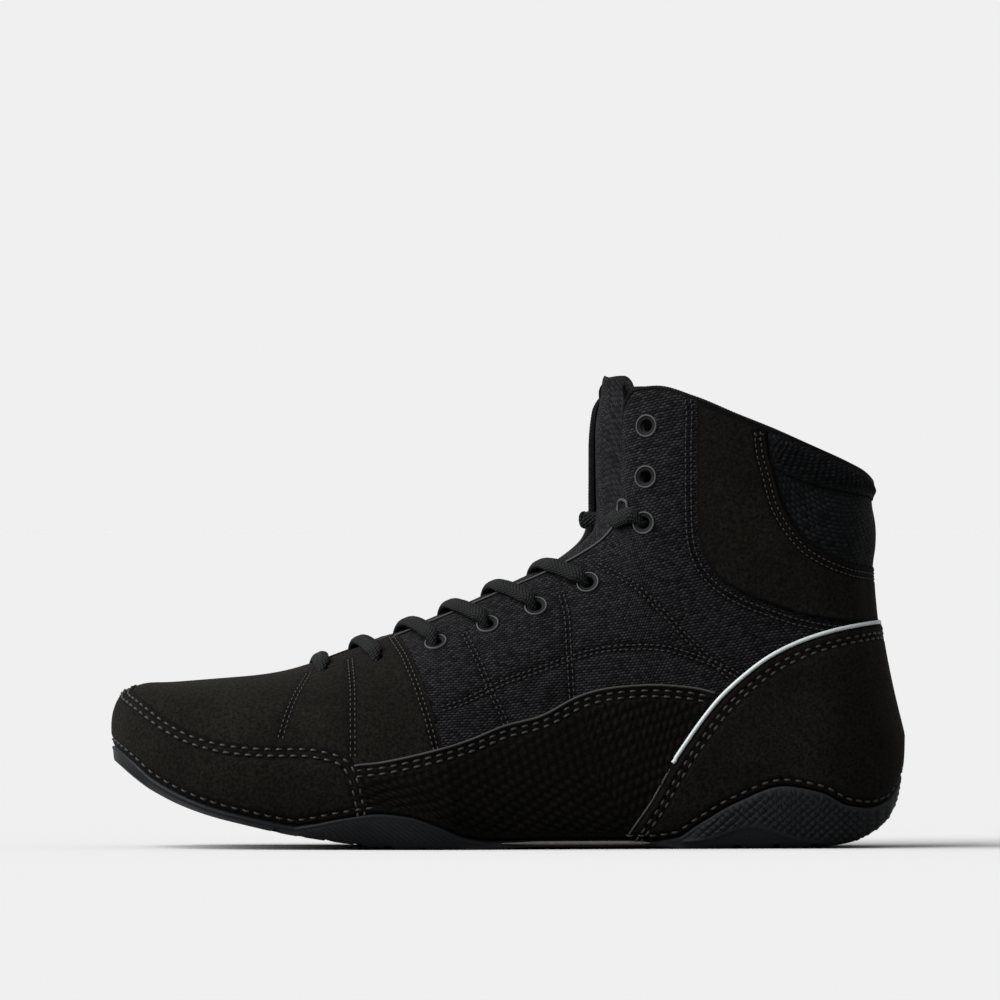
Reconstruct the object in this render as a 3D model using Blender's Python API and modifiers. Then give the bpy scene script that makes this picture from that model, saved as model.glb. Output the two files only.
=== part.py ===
"""Wrestling shoe for the left foot: a high soft boot on a thin cupped rubber sole.

Every piece is worked out from one surface, the last, in metres. In the last's own frame x runs from
the toe tip to the heel, y is negative on the outer (lateral) side and z is up from the floor. The
finished shoe is then moved so that its origin is the middle of its footprint.
"""

import math
from bisect import bisect_right
from collections import namedtuple

import bmesh
import bpy
from mathutils import Matrix, Vector

# Driving sizes of the last
LENGTH = 0.285
BALL_WIDTH = 0.0985
TOE_HEIGHT = 0.0583
TOE_SPRING = 0.0320
SHAFT_HEIGHT = 0.1650
COLLAR_WIDTH = 0.0725
THROAT_GAP = 0.0300
TOE_SWING = 0.0050
HEEL_HOLLOW = 0.0042
ANKLE_PINCH = 0.0030
UNDERTURN = 0.0060
MEDIAL_FLARE = 0.0060

# Shares along the last over which its features come and go
SWING_END = 0.42
LEAN_SPAN = (0.02, 0.20)
WAIST_SPAN = (0.70, 0.95)
HOLLOW_SPAN = (0.90, 1.00)
BACK_SPAN = (0.97, 1.00)
THROAT_START = 0.238
THROAT_BLEND = (0.218, 0.288)

# Walls, overlays and the space that neighbours keep
GAP = 0.00035
UPPER_WALL = 0.0022
VAMP_STEP = 0.0006
PAD_SWELL = 0.0016
PAD_DEPTH = 0.0040
BUMPER_THICKNESS = 0.0013
PANEL_THICKNESS = 0.0009
COUNTER_THICKNESS = 0.0013
ANKLE_THICKNESS = 0.0008
PIPING_DIAMETER = 0.0020
PIPING_START = 0.030

# Sole, insole and tongue
SOLE_THICKNESS = 0.0065
SOLE_WALL = 0.0017
SOLE_GAP = 0.0005
SOLE_TUCK = 0.0048
HEEL_RISE = 0.0240
WAVE_HEIGHT = 0.0223
ARCH_LIFT = 0.0008
GROOVE_WIDTH = 0.0024
GROOVE_DEPTH = 0.0012
GROOVE_SLANT = 0.06
GROOVE_REACH = 1.5 * BALL_WIDTH
KNEE_IN = 0.12
KNEE_UP = 0.22
RUBBER_LEAST = 0.0006
INSOLE_THICKNESS = 0.0030
INSOLE_INSET = 0.0063
TONGUE_THICKNESS = 0.0034
TONGUE_ROOM = 0.0010
TONGUE_LAP = 0.20
TONGUE_CROWN = 0.0030
TONGUE_BOW = 0.0055
TONGUE_RISE = 0.0050
TONGUE_NOD = 0.6 * TONGUE_RISE
TONGUE_PRESS = 0.4 * TONGUE_CROWN
TONGUE_OPENS = (0.238, 0.298)
TONGUE_STANDS = (0.58, 0.68)

# Eyelets and lace
EYELET_DIAMETER = 0.0083
EYELET_BORE = 0.0042
EYELET_BARREL = 0.0056
EYELET_FLANGE = 0.0007
HOLE_CLEARANCE = 0.0003
HOLE_SIDES = 8
LACE_SIDES = 6
LACE_WIDTH = 0.0060
LACE_THICKNESS = 0.0019
LACE_LEAN = 0.55
LACE_ARCH = 0.0024
LACE_DIVE = 0.0016
LACE_DIVE_SPAN = (0.50, 0.86)
LACE_ON_QUARTER = (0.42, 0.65, 1.0)
LACE_OVER_TONGUE = (0.25, 0.50, 0.66, 0.76)

# The space between neighbours
OVERLAY_GAP = 0.0007
FLANGE_GAP = 0.0006
LACE_ROOM = 0.0009
LACE_LIFT = LACE_ROOM + LACE_THICKNESS / 2
OVERLAY_ROOM = OVERLAY_GAP + BUMPER_THICKNESS
RUBBER_ROOM = 0.0005
PANEL_ROOM = 0.0006
PIPING_ROOM = 0.0005
PIPING_LEAD = 0.012

# The outline seen from above, with each side's reach from the centre line as a share of BALL_WIDTH
Outline = namedtuple("Outline", "along lateral medial")
OUTLINE = (
    Outline(0.00, 0.455, 0.405),
    Outline(0.10, 0.475, 0.430),
    Outline(0.20, 0.505, 0.455),
    Outline(0.30, 0.530, 0.470),
    Outline(0.385, 0.535, 0.445),
    Outline(0.48, 0.485, 0.370),
    Outline(0.60, 0.420, 0.312),
    Outline(0.70, 0.382, 0.305),
    Outline(0.80, 0.360, 0.312),
    Outline(0.90, 0.345, 0.312),
    Outline(1.00, 0.335, 0.305),
)
TOE_ROUND = {"lateral": 0.185, "medial": 0.150}
TOE_POWER = 2.2
HEEL_ROUND = 0.120
HEEL_POWER = 2.1

# The underside of the sole, and the thickness of its plate as a share of SOLE_THICKNESS
Under = namedtuple("Under", "along spring plate tuck")
UNDER = (
    Under(0.000, 1.000, 0.66, 0.15),
    Under(0.013, 0.900, 0.64, 0.22),
    Under(0.030, 0.770, 0.60, 0.30),
    Under(0.053, 0.620, 0.56, 0.38),
    Under(0.083, 0.484, 0.52, 0.48),
    Under(0.120, 0.365, 0.50, 0.60),
    Under(0.164, 0.265, 0.52, 0.72),
    Under(0.214, 0.165, 0.56, 0.80),
    Under(0.263, 0.095, 0.58, 0.85),
    Under(0.320, 0.030, 0.58, 0.85),
    Under(0.375, 0.000, 0.54, 0.80),
    Under(0.450, 0.000, 0.42, 0.70),
    Under(0.540, 0.000, 0.30, 0.60),
    Under(0.660, 0.000, 0.30, 0.60),
    Under(0.740, 0.000, 0.60, 0.75),
    Under(0.820, 0.000, 0.90, 0.95),
    Under(0.900, 0.000, 1.00, 1.25),
    Under(1.000, 0.000, 1.00, 2.00),
)

# The rise of the heel's underside behind its flat spot, as a share of HEEL_RISE
Rise = namedtuple("Rise", "along rise")
HEEL_UNDER = (
    Rise(0.880, 0.000),
    Rise(0.920, 0.060),
    Rise(0.945, 0.150),
    Rise(0.960, 0.240),
    Rise(0.972, 0.330),
    Rise(0.985, 0.520),
    Rise(1.000, 1.000),
)
ARCH_SPAN = (0.46, 0.54, 0.66, 0.72)

# Grooves that part the tread into lugs, along the sole
GROOVES = (0.190, 0.222, 0.256, 0.292, 0.330, 0.372, 0.775, 0.825, 0.872)

# The rubber's upper edge on the side, above the floor, as a share of WAVE_HEIGHT
Wave = namedtuple("Wave", "along height")
WAVE = (
    Wave(0.000, 1.730),
    Wave(0.025, 1.430),
    Wave(0.050, 1.120),
    Wave(0.083, 0.830),
    Wave(0.125, 0.600),
    Wave(0.165, 0.480),
    Wave(0.200, 0.415),
    Wave(0.240, 0.440),
    Wave(0.285, 0.520),
    Wave(0.328, 0.578),
    Wave(0.365, 0.530),
    Wave(0.405, 0.370),
    Wave(0.445, 0.200),
    Wave(0.480, 0.160),
    Wave(0.660, 0.160),
    Wave(0.705, 0.210),
    Wave(0.735, 0.420),
    Wave(0.780, 0.740),
    Wave(0.840, 1.000),
    Wave(0.885, 0.910),
    Wave(0.925, 0.690),
    Wave(0.950, 0.660),
    Wave(1.000, 0.900),
)

# The widest line, the top line and the fullness of each section. wide: height of the widest line as a
# share of TOE_HEIGHT. to, rise: the top line's place as shares of LENGTH and SHAFT_HEIGHT. gap: half
# the throat as a share of THROAT_GAP, or the collar's reach as a share of COLLAR_WIDTH where rim is 1.
Section = namedtuple("Section", "along wide to rise gap rim sweep fullness flare")
SECTIONS = (
    Section(0.000, 0.740, 0.058, 0.3510, 0.00, 0, 90, 2.40, 0.0),
    Section(0.020, 0.690, 0.070, 0.3525, 0.00, 0, 90, 2.40, 0.0),
    Section(0.070, 0.560, 0.107, 0.3560, 0.00, 0, 90, 2.35, 0.0),
    Section(0.140, 0.440, 0.171, 0.3650, 0.00, 0, 90, 2.30, 0.0),
    Section(0.210, 0.400, 0.235, 0.3860, 0.00, 0, 90, 2.20, 0.0),
    Section(0.238, 0.395, 0.259, 0.3970, 0.00, 0, 90, 2.20, 0.0),
    Section(0.252, 0.395, 0.270, 0.4035, 0.26, 0, 82, 2.20, 0.0),
    Section(0.272, 0.395, 0.289, 0.4160, 0.36, 0, 76, 2.15, 0.0),
    Section(0.323, 0.395, 0.340, 0.4480, 0.42, 0, 70, 2.10, 0.0),
    Section(0.375, 0.400, 0.391, 0.4830, 0.45, 0, 66, 2.05, 0.0),
    Section(0.428, 0.405, 0.442, 0.5200, 0.47, 0, 62, 2.00, 0.0),
    Section(0.480, 0.415, 0.492, 0.5580, 0.48, 0, 59, 2.00, 0.0),
    Section(0.533, 0.430, 0.542, 0.5950, 0.49, 0, 56, 2.00, 0.1),
    Section(0.580, 0.450, 0.586, 0.6340, 0.51, 0, 52, 2.00, 0.3),
    Section(0.617, 0.470, 0.621, 0.6770, 0.53, 0, 48, 2.00, 0.6),
    Section(0.645, 0.490, 0.637, 0.7220, 0.55, 0, 44, 2.00, 0.9),
    Section(0.667, 0.505, 0.6405, 0.7800, 0.56, 0, 40, 2.00, 1.0),
    Section(0.688, 0.520, 0.6408, 0.8680, 0.57, 0, 36, 2.00, 1.0),
    Section(0.706, 0.535, 0.6420, 0.9480, 0.60, 0, 33, 2.00, 0.9),
    Section(0.722, 0.550, 0.6540, 0.9930, 0.285, 1, 31, 2.00, 0.6),
    Section(0.744, 0.570, 0.6810, 1.0000, 0.355, 1, 30, 2.00, 0.2),
    Section(0.780, 0.600, 0.7260, 0.9780, 0.445, 1, 30, 2.00, 0.0),
    Section(0.818, 0.630, 0.7760, 0.9420, 0.492, 1, 30, 2.00, 0.0),
    Section(0.860, 0.655, 0.8290, 0.9050, 0.500, 1, 30, 2.00, 0.0),
    Section(0.902, 0.670, 0.8780, 0.8690, 0.455, 1, 30, 2.00, 0.0),
    Section(0.940, 0.680, 0.9200, 0.8380, 0.360, 1, 30, 2.00, 0.0),
    Section(0.972, 0.685, 0.9470, 0.8150, 0.225, 1, 30, 2.00, 0.0),
    Section(0.993, 0.690, 0.9580, 0.7990, 0.085, 1, 30, 2.00, 0.0),
    Section(1.000, 0.690, 0.9600, 0.7940, 0.000, 1, 30, 2.00, 0.0),
)

# The vamp's centre line seen from the side, as shares of LENGTH and TOE_HEIGHT
Ridge = namedtuple("Ridge", "along height")
RIDGE = (
    Ridge(0.000, 0.990),
    Ridge(0.063, 0.993),
    Ridge(0.105, 1.005),
    Ridge(0.165, 1.029),
    Ridge(0.215, 1.065),
    Ridge(0.260, 1.125),
    Ridge(0.300, 1.195),
)

# Edges of the overlays seen from the side, as shares of LENGTH and SHAFT_HEIGHT
Mark = namedtuple("Mark", "along rise")
BUMPER_EDGE = (
    Mark(0.0330, 0.3440),
    Mark(0.0590, 0.3080),
    Mark(0.0860, 0.2770),
    Mark(0.1170, 0.2480),
    Mark(0.1500, 0.2300),
    Mark(0.1900, 0.2240),
    Mark(0.2330, 0.2150),
    Mark(0.2560, 0.2070),
    Mark(0.2780, 0.1960),
    Mark(0.3000, 0.1730),
    Mark(0.3140, 0.1400),
    Mark(0.3220, 0.1080),
    Mark(0.3280, 0.0850),
)
BUMPER_CREST = 0.3440
PANEL_EDGE = (
    Mark(0.3050, 0.1800),
    Mark(0.3400, 0.1850),
    Mark(0.3780, 0.1980),
    Mark(0.4180, 0.2160),
    Mark(0.4560, 0.2380),
    Mark(0.4970, 0.2650),
    Mark(0.5430, 0.2880),
    Mark(0.5860, 0.3260),
    Mark(0.6240, 0.3460),
    Mark(0.6730, 0.3550),
    Mark(0.7160, 0.3530),
    Mark(0.7450, 0.3460),
    Mark(0.7640, 0.3380),
    Mark(0.7900, 0.3280),
)
COUNTER_EDGE = (
    Mark(0.6540, 0.0330),
    Mark(0.6830, 0.1020),
    Mark(0.7070, 0.1750),
    Mark(0.7300, 0.2330),
    Mark(0.7530, 0.2870),
    Mark(0.7750, 0.3330),
    Mark(0.8080, 0.3800),
    Mark(0.8370, 0.4110),
    Mark(0.8710, 0.4380),
    Mark(0.9090, 0.4590),
    Mark(0.9430, 0.4690),
)
COUNTER_CREST = 0.4770
ANKLE_LOW = (
    Mark(0.7390, 0.7600),
    Mark(0.7440, 0.6600),
    Mark(0.7520, 0.6180),
    Mark(0.7700, 0.5860),
    Mark(0.8050, 0.5500),
    Mark(0.8420, 0.5260),
    Mark(0.8800, 0.5080),
    Mark(0.9300, 0.4990),
)
ANKLE_LOW_CREST = 0.4980
ANKLE_HIGH = (
    Mark(0.7395, 0.8000),
    Mark(0.7420, 0.9540),
    Mark(0.7700, 0.9300),
    Mark(0.8000, 0.9060),
    Mark(0.8240, 0.8880),
    Mark(0.8300, 0.8480),
    Mark(0.8400, 0.7850),
    Mark(0.8560, 0.7200),
    Mark(0.8840, 0.6620),
    Mark(0.9200, 0.6280),
)
ANKLE_HIGH_CREST = 0.6170
VAMP_BORDER = (0.36, 0.39)
VAMP_RISE = (-0.9, 0.1)
PAD_SPAN = (0.81, 0.87)
PAD_RISE = (0.60, 0.80)
PAD_BRIM = (0.90, 1.04)
PAD_BRIM_FALL = 0.7

# Eyelets from the toe upwards, seen from the side; the first two pairs are punched in the vamp and
# carry no ring. over: where the strand from an eyelet crosses the throat's edge, along the last.
Eyelet = namedtuple("Eyelet", "along rise over")
EYELETS = (
    Eyelet(0.2700, 0.3840, 0.262),
    Eyelet(0.3380, 0.4100, 0.303),
    Eyelet(0.4110, 0.4470, 0.366),
    Eyelet(0.4770, 0.4850, 0.422),
    Eyelet(0.5370, 0.5250, 0.480),
    Eyelet(0.6030, 0.5770, 0.546),
    Eyelet(0.6730, 0.7080, 0.640),
    Eyelet(0.6758, 0.8080, 0.672),
    Eyelet(0.6772, 0.9190, 0.700),
)
PUNCHED_PAIRS = 2
LACED_PAIRS = 7

# Where the columns of each mesh stand along the last
COLUMNS = (
    0.0, 0.004, 0.014, 0.030, 0.052, 0.080, 0.114, 0.150, 0.186, 0.215, 0.238, 0.252, 0.272, 0.298,
    0.328, 0.362, 0.398, 0.436, 0.476, 0.516, 0.552, 0.584, 0.612, 0.637, 0.660, 0.682, 0.702, 0.716,
    0.730, 0.748, 0.775, 0.808, 0.844, 0.878, 0.908, 0.934, 0.956, 0.974, 0.988, 0.997, 1.0,
)
COLUMN_MARGIN = 0.004
MARK_MARGIN = 0.0008
UNDER_ROWS = (-1.0, -0.66, -0.33)
UNDER_SPANS = 2
SIDE_SPANS = 5
LEAST_SPAN = 0.01
WAIST_FROM_LOW = 0.2
WAIST_FROM_HIGH = 0.3
WALL_STEPS = (0.0, 0.35, 0.70, 1.0)
CUP_STEPS = (0.0, 0.33, 0.66, 1.0)
STEP = 0.004
SEARCHES = 26
SIDE_ROWS = (0.0, 0.12, 0.24, 0.36, 0.48, 0.60, 0.72, 0.84, 0.93, 1.0)
TONGUE_COLUMNS = (
    0.215, 0.238, 0.255, 0.280, 0.320, 0.370, 0.420, 0.470, 0.520, 0.560, 0.595, 0.622, 0.645, 0.662,
    0.680, 0.698, 0.712,
)

# The tongue's free top: shares of its rise above the collar and of its width there
TONGUE_TOP = ((0.4, 0.96), (0.8, 0.86), (1.0, 0.70))

LEATHER_BLACK = (0.012, 0.010, 0.009, 1.0)
KNIT_BLACK = (0.013, 0.013, 0.016, 1.0)
RUBBER_GREY = (0.030, 0.033, 0.038, 1.0)
PIPING_SILVER = (0.520, 0.550, 0.550, 1.0)
LACE_CHARCOAL = (0.022, 0.026, 0.027, 1.0)
RING_GREY = (0.070, 0.074, 0.080, 1.0)
LINING_BLACK = (0.010, 0.010, 0.011, 1.0)


class Track:
    """A smooth run through one column of a table, which never overshoots its rows."""

    def __init__(self, keys, values):
        self.keys = list(keys)
        self.values = list(values)
        steps = [b - a for a, b in zip(self.keys, self.keys[1:])]
        falls = [(b - a) / step for a, b, step in zip(self.values, self.values[1:], steps)]
        inner = [
            0.0 if left * right <= 0 else 2 * left * right / (left + right)
            for left, right in zip(falls, falls[1:])
        ]
        self.slopes = [falls[0], *inner, falls[-1]]

    def __call__(self, at):
        at = min(max(at, self.keys[0]), self.keys[-1])
        i = min(bisect_right(self.keys, at), len(self.keys) - 1) - 1
        step = self.keys[i + 1] - self.keys[i]
        t = (at - self.keys[i]) / step
        start = (1 + 2 * t) * (1 - t) ** 2 * self.values[i] + t * (1 - t) ** 2 * step * self.slopes[i]
        end = t * t * (3 - 2 * t) * self.values[i + 1] + t * t * (t - 1) * step * self.slopes[i + 1]
        return start + end


def track(rows, column):
    """The Track of a table's named column, along the last."""
    return Track([row.along for row in rows], [getattr(row, column) for row in rows])


def ease(low, high, at):
    """0 below low, 1 above high, and smooth between."""
    t = min(max((at - low) / (high - low), 0.0), 1.0)
    return t * t * (3 - 2 * t)


REACH = {side: track(OUTLINE, side) for side in ("lateral", "medial")}
SPRING = track(UNDER, "spring")
PLATE = track(UNDER, "plate")
TUCK = track(UNDER, "tuck")
HEEL_LIFT = track(HEEL_UNDER, "rise")
WAVE_EDGE = track(WAVE, "height")
RIDGE_LINE = track(RIDGE, "height")
SHAPE = {column: track(SECTIONS, column) for column in Section._fields[1:]}
TOP_REACH = Track(
    [row.along for row in SECTIONS],
    [row.gap * (COLLAR_WIDTH if row.rim else THROAT_GAP) for row in SECTIONS],
)


def turn_of(along, side):
    """The place round the last, from 0 at the toe by the lateral side to 1 at the heel and on to 2."""
    half = math.acos(1 - 2 * min(max(along, 0.0), 1.0)) / math.pi
    return half if side == "lateral" else 2 - half


def place_of(turn):
    """The share along the last and the side, from a place round it."""
    turn %= 2
    half = min(turn, 2 - turn)
    return (1 - math.cos(math.pi * half)) / 2, ("lateral" if turn <= 1 else "medial")


def rounding(depth, radius, power):
    """How much of its full reach an end has at a depth behind its tip."""
    return (1 - (1 - min(depth / radius, 1.0)) ** power) ** (1 / power)


def outline_at(turn):
    """The widest outline, seen from above."""
    along, side = place_of(turn)
    reach = REACH[side](along) * BALL_WIDTH
    reach *= rounding(along, TOE_ROUND[side], TOE_POWER) * rounding(1 - along, HEEL_ROUND, HEEL_POWER)
    x = OVERLAY_ROOM + along * (LENGTH - 2 * OVERLAY_ROOM)
    return Vector((x, -reach if side == "lateral" else reach, 0.0))


def inward_at(turn):
    """The direction into the shoe, square to the outline."""
    run = outline_at(turn + STEP / 2) - outline_at(turn - STEP / 2)
    return Vector((-run.y, run.x, 0.0)).normalized()


def under_height(x):
    """The height of the sole's underside."""
    along = x / LENGTH
    start, full, fade, end = ARCH_SPAN
    arch = ARCH_LIFT * ease(start, full, along) * (1 - ease(fade, end, along))
    return SPRING(along) * TOE_SPRING + HEEL_LIFT(along) * HEEL_RISE + arch


def feather_height(x):
    """The height at which the upper turns under, on top of the sole's plate."""
    return under_height(x) + PLATE(x / LENGTH) * SOLE_THICKNESS + SOLE_GAP


def raw_last(turn, v):
    """The last's surface before its toe is swung: v is -1 at the feather, 0 at the widest, 1 at the top."""
    along, side = place_of(turn)
    widest = outline_at(turn)
    inward = inward_at(turn)
    feather = widest + inward * UNDERTURN
    low = feather_height(feather.x)
    wide = max(SHAPE["wide"](along) * TOE_HEIGHT, low + UNDERTURN)
    if v < 0:
        angle = v * math.pi / 2
        point = widest + inward * UNDERTURN * (1 - math.cos(angle))
        return Vector((point.x, point.y, wide + (wide - low) * math.sin(angle)))
    limit = math.radians(SHAPE["sweep"](along))
    power = 2 / SHAPE["fullness"](along)
    angle = v * limit
    closing = (1 - max(math.cos(angle), 0.0) ** power) / (1 - max(math.cos(limit), 0.0) ** power)
    climbing = math.sin(angle) ** power / math.sin(limit) ** power
    leaning = closing + (climbing - closing) * ease(*LEAN_SPAN, along)
    top_x = SHAPE["to"](along) * LENGTH
    top_y = TOP_REACH(along) * (-1 if side == "lateral" else 1)
    if side == "medial":
        top_x -= MEDIAL_FLARE * SHAPE["flare"](along)
    x = widest.x + (top_x - widest.x) * leaning
    y = widest.y + (top_y - widest.y) * closing
    ridge = RIDGE_LINE(x / LENGTH) * TOE_HEIGHT
    edge = SHAPE["rise"](along) * SHAFT_HEIGHT
    top = ridge + (edge - ridge) * ease(*THROAT_BLEND, along)
    z = wide + (top - wide) * climbing
    waist = math.sin(math.pi * climbing) * ease(*WAIST_SPAN, along)
    x -= HEEL_HOLLOW * waist * ease(*HOLLOW_SPAN, along)
    y -= math.copysign(ANKLE_PINCH * waist * (1 - ease(*BACK_SPAN, along)), y)
    return Vector((x, y, z))


def normal_at(turn, v):
    """The direction out of the last."""
    round_it = raw_last(turn + STEP, v) - raw_last(turn - STEP, v)
    up_it = raw_last(turn, min(v + STEP, 1.0)) - raw_last(turn, max(v - STEP, -1.0))
    normal = round_it.cross(up_it).normalized()
    along, _ = place_of(turn)
    if (v > 0.999 and along <= THROAT_START) or along in (0.0, 1.0):
        normal.y = 0.0
        normal.normalize()
    return normal


def skin(turn, v, out=0.0):
    """A point of the shoe, out metres outside the last."""
    point = raw_last(turn, v) + normal_at(turn, v) * out
    inward = 1 - min(point.x / (SWING_END * LENGTH), 1.0)
    point.y += TOE_SWING * inward * inward
    return point


def row_at(turn, height):
    """The v at which the last reaches a height."""
    low, high = -1.0, 1.0
    for _ in range(SEARCHES):
        middle = (low + high) / 2
        if raw_last(turn, middle).z < height:
            low = middle
        else:
            high = middle
    return (low + high) / 2


def find(mark, side):
    """The turn and v of a point given by its place seen from the side."""
    x = mark.along * LENGTH
    z = mark.rise * SHAFT_HEIGHT
    low, high = 0.0, 1.0
    for _ in range(SEARCHES):
        middle = (low + high) / 2
        turn = middle if side == "lateral" else 2 - middle
        if raw_last(turn, row_at(turn, z)).x < x:
            low = middle
        else:
            high = middle
    turn = (low + high) / 2
    turn = turn if side == "lateral" else 2 - turn
    return turn, row_at(turn, z)


def edge_track(marks, side, toe_crest=None, heel_crest=None):
    """The v of an overlay's edge along the last, through marks seen from the side."""
    rows = [find(mark, side) for mark in marks]
    rows = [(place_of(turn)[0], v) for turn, v in rows]
    if toe_crest is not None:
        rows.insert(0, (0.0, row_at(0.0, toe_crest * SHAFT_HEIGHT)))
    if heel_crest is not None:
        rows.append((1.0, row_at(1.0, heel_crest * SHAFT_HEIGHT)))
    kept = [rows[0]]
    for row in rows[1:]:
        if row[0] > kept[-1][0] + MARK_MARGIN:
            kept.append(row)
    return Track([along for along, _ in kept], [v for _, v in kept])


def wave_row(turn, room=0.0):
    """The v of the rubber's upper edge, or of what stops a little above it."""
    x = outline_at(turn).x
    height = WAVE_EDGE(x / LENGTH) * WAVE_HEIGHT
    return row_at(turn, max(height, feather_height(x) + RUBBER_LEAST) + room)


def columns_between(low, high):
    """The shared columns from one share along the last to another, with both ends."""
    inner = [along for along in COLUMNS if low + COLUMN_MARGIN < along < high - COLUMN_MARGIN]
    return [low, *inner, high]


def material(name, colour, roughness, metallic=0.0):
    """A Principled material of its own for a piece."""
    made = bpy.data.materials.new(name)
    made.use_nodes = True
    shader = made.node_tree.nodes["Principled BSDF"]
    shader.inputs["Base Color"].default_value = colour
    shader.inputs["Roughness"].default_value = roughness
    shader.inputs["Metallic"].default_value = metallic
    made.diffuse_color = colour
    return made


def place(name, mesh, finish, shoe, parts):
    """A mesh as a named piece of the shoe, shaded smooth."""
    mesh.shade_smooth()
    mesh.set_sharp_from_angle(angle=math.radians(40))
    piece = bpy.data.objects.new(name, mesh)
    mesh.materials.append(material(name, *finish))
    piece.parent = shoe
    parts.objects.link(piece)
    return piece


def mesh_of(name, points, faces, weld=1e-6):
    """A mesh from points and faces, with doubled points welded and its faces turned outwards."""
    built = bmesh.new()
    made = [built.verts.new(point) for point in points]
    for face in faces:
        corners = [made[i] for i in face]
        if len({tuple(corner.co) for corner in corners}) >= 3:
            built.faces.new(corners)
    bmesh.ops.remove_doubles(built, verts=built.verts, dist=weld)
    bmesh.ops.dissolve_degenerate(built, edges=built.edges, dist=weld)
    bmesh.ops.recalc_face_normals(built, faces=built.faces)
    mesh = bpy.data.meshes.new(name)
    built.to_mesh(mesh)
    built.free()
    return mesh


def shell(name, outer, inner, top_open, ends_open=True):
    """A closed wall between two grids of points, each a list of columns of rows."""
    columns = len(outer)
    rows = len(outer[0])
    points = [point for column in outer + inner for point in column]

    def outside(i, j):
        return i * rows + j

    def inside(i, j):
        return (columns + i) * rows + j

    faces = []
    for i in range(columns - 1):
        for j in range(rows - 1):
            faces.append((outside(i, j), outside(i + 1, j), outside(i + 1, j + 1), outside(i, j + 1)))
            faces.append((inside(i, j), inside(i, j + 1), inside(i + 1, j + 1), inside(i + 1, j)))
        faces.append((outside(i, 0), inside(i, 0), inside(i + 1, 0), outside(i + 1, 0)))
        if top_open(i):
            j = rows - 1
            faces.append((outside(i, j), outside(i + 1, j), inside(i + 1, j), inside(i, j)))
    if ends_open:
        for i in (0, columns - 1):
            for j in range(rows - 1):
                faces.append((outside(i, j), outside(i, j + 1), inside(i, j + 1), inside(i, j)))
    return mesh_of(name, points, faces)


def wall_out(turn, v):
    """How far the upper's outer face stands off the last: a step at the vamp and a swell at the collar."""
    along, _ = place_of(turn)
    vamp = VAMP_STEP * (1 - ease(*VAMP_BORDER, along))
    return vamp * ease(*VAMP_RISE, v) + PAD_SWELL * pad_share(along, v)


def pad_share(along, v):
    """0 outside the padded collar and 1 in its middle."""
    brim = 1 - PAD_BRIM_FALL * ease(*PAD_BRIM, v)
    return ease(*PAD_SPAN, along) * ease(*PAD_RISE, v) * brim


def upper_mesh():
    """The hollow upper, open at the collar, at the throat and underneath."""
    rows = UNDER_ROWS + SIDE_ROWS
    turns = [turn_of(along, "lateral") for along in reversed(COLUMNS)]
    turns += [turn_of(along, "medial") for along in COLUMNS[1:]]
    outer = [[skin(turn, v, wall_out(turn, v)) for v in rows] for turn in turns]
    inner = [
        [skin(turn, v, -UPPER_WALL - PAD_DEPTH * pad_share(place_of(turn)[0], v)) for v in rows]
        for turn in turns
    ]

    def top_open(i):
        return max(place_of(turns[i])[0], place_of(turns[i + 1])[0]) > THROAT_START + 1e-6

    return shell("upper", outer, inner, top_open, ends_open=False)


def overlay_mesh(name, turns, low, high, thickness):
    """A piece laid on the upper between two edges, each a function of the turn."""
    outer, inner = [], []
    for turn in turns:
        bottom, top = low(turn), high(turn)
        top = max(top, bottom + LEAST_SPAN)
        height = top - bottom
        waist = min(max(0.0, bottom + WAIST_FROM_LOW * height), top - WAIST_FROM_HIGH * height)
        span = [bottom + (waist - bottom) * k / UNDER_SPANS for k in range(UNDER_SPANS)]
        span += [waist + (top - waist) * k / SIDE_SPANS for k in range(SIDE_SPANS + 1)]
        inner.append([skin(turn, v, wall_out(turn, v) + OVERLAY_GAP) for v in span])
        outer.append([skin(turn, v, wall_out(turn, v) + OVERLAY_GAP + thickness) for v in span])
    return shell(name, outer, inner, lambda i: True)


def beyond(edge, turn, distance):
    """The v of a line that runs beside an edge, distance metres above it on the surface."""
    v = edge(turn)
    run = raw_last(turn + STEP, edge(turn + STEP)) - raw_last(turn - STEP, edge(turn - STEP))
    run.normalize()
    climb = (raw_last(turn, v + STEP) - raw_last(turn, v - STEP)) / (2 * STEP)
    square = climb - run * climb.dot(run)
    return v + distance / square.length


def side_tracks(marks, **crests):
    """An edge's Track for each side, as one function of the turn."""
    tracks = {side: edge_track(marks, side, **crests) for side in ("lateral", "medial")}

    def edge(turn):
        along, side = place_of(turn)
        return tracks[side](along)

    edge.start = {side: tracks[side].keys[0] for side in tracks}
    edge.end = {side: tracks[side].keys[-1] for side in tracks}
    return edge


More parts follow.
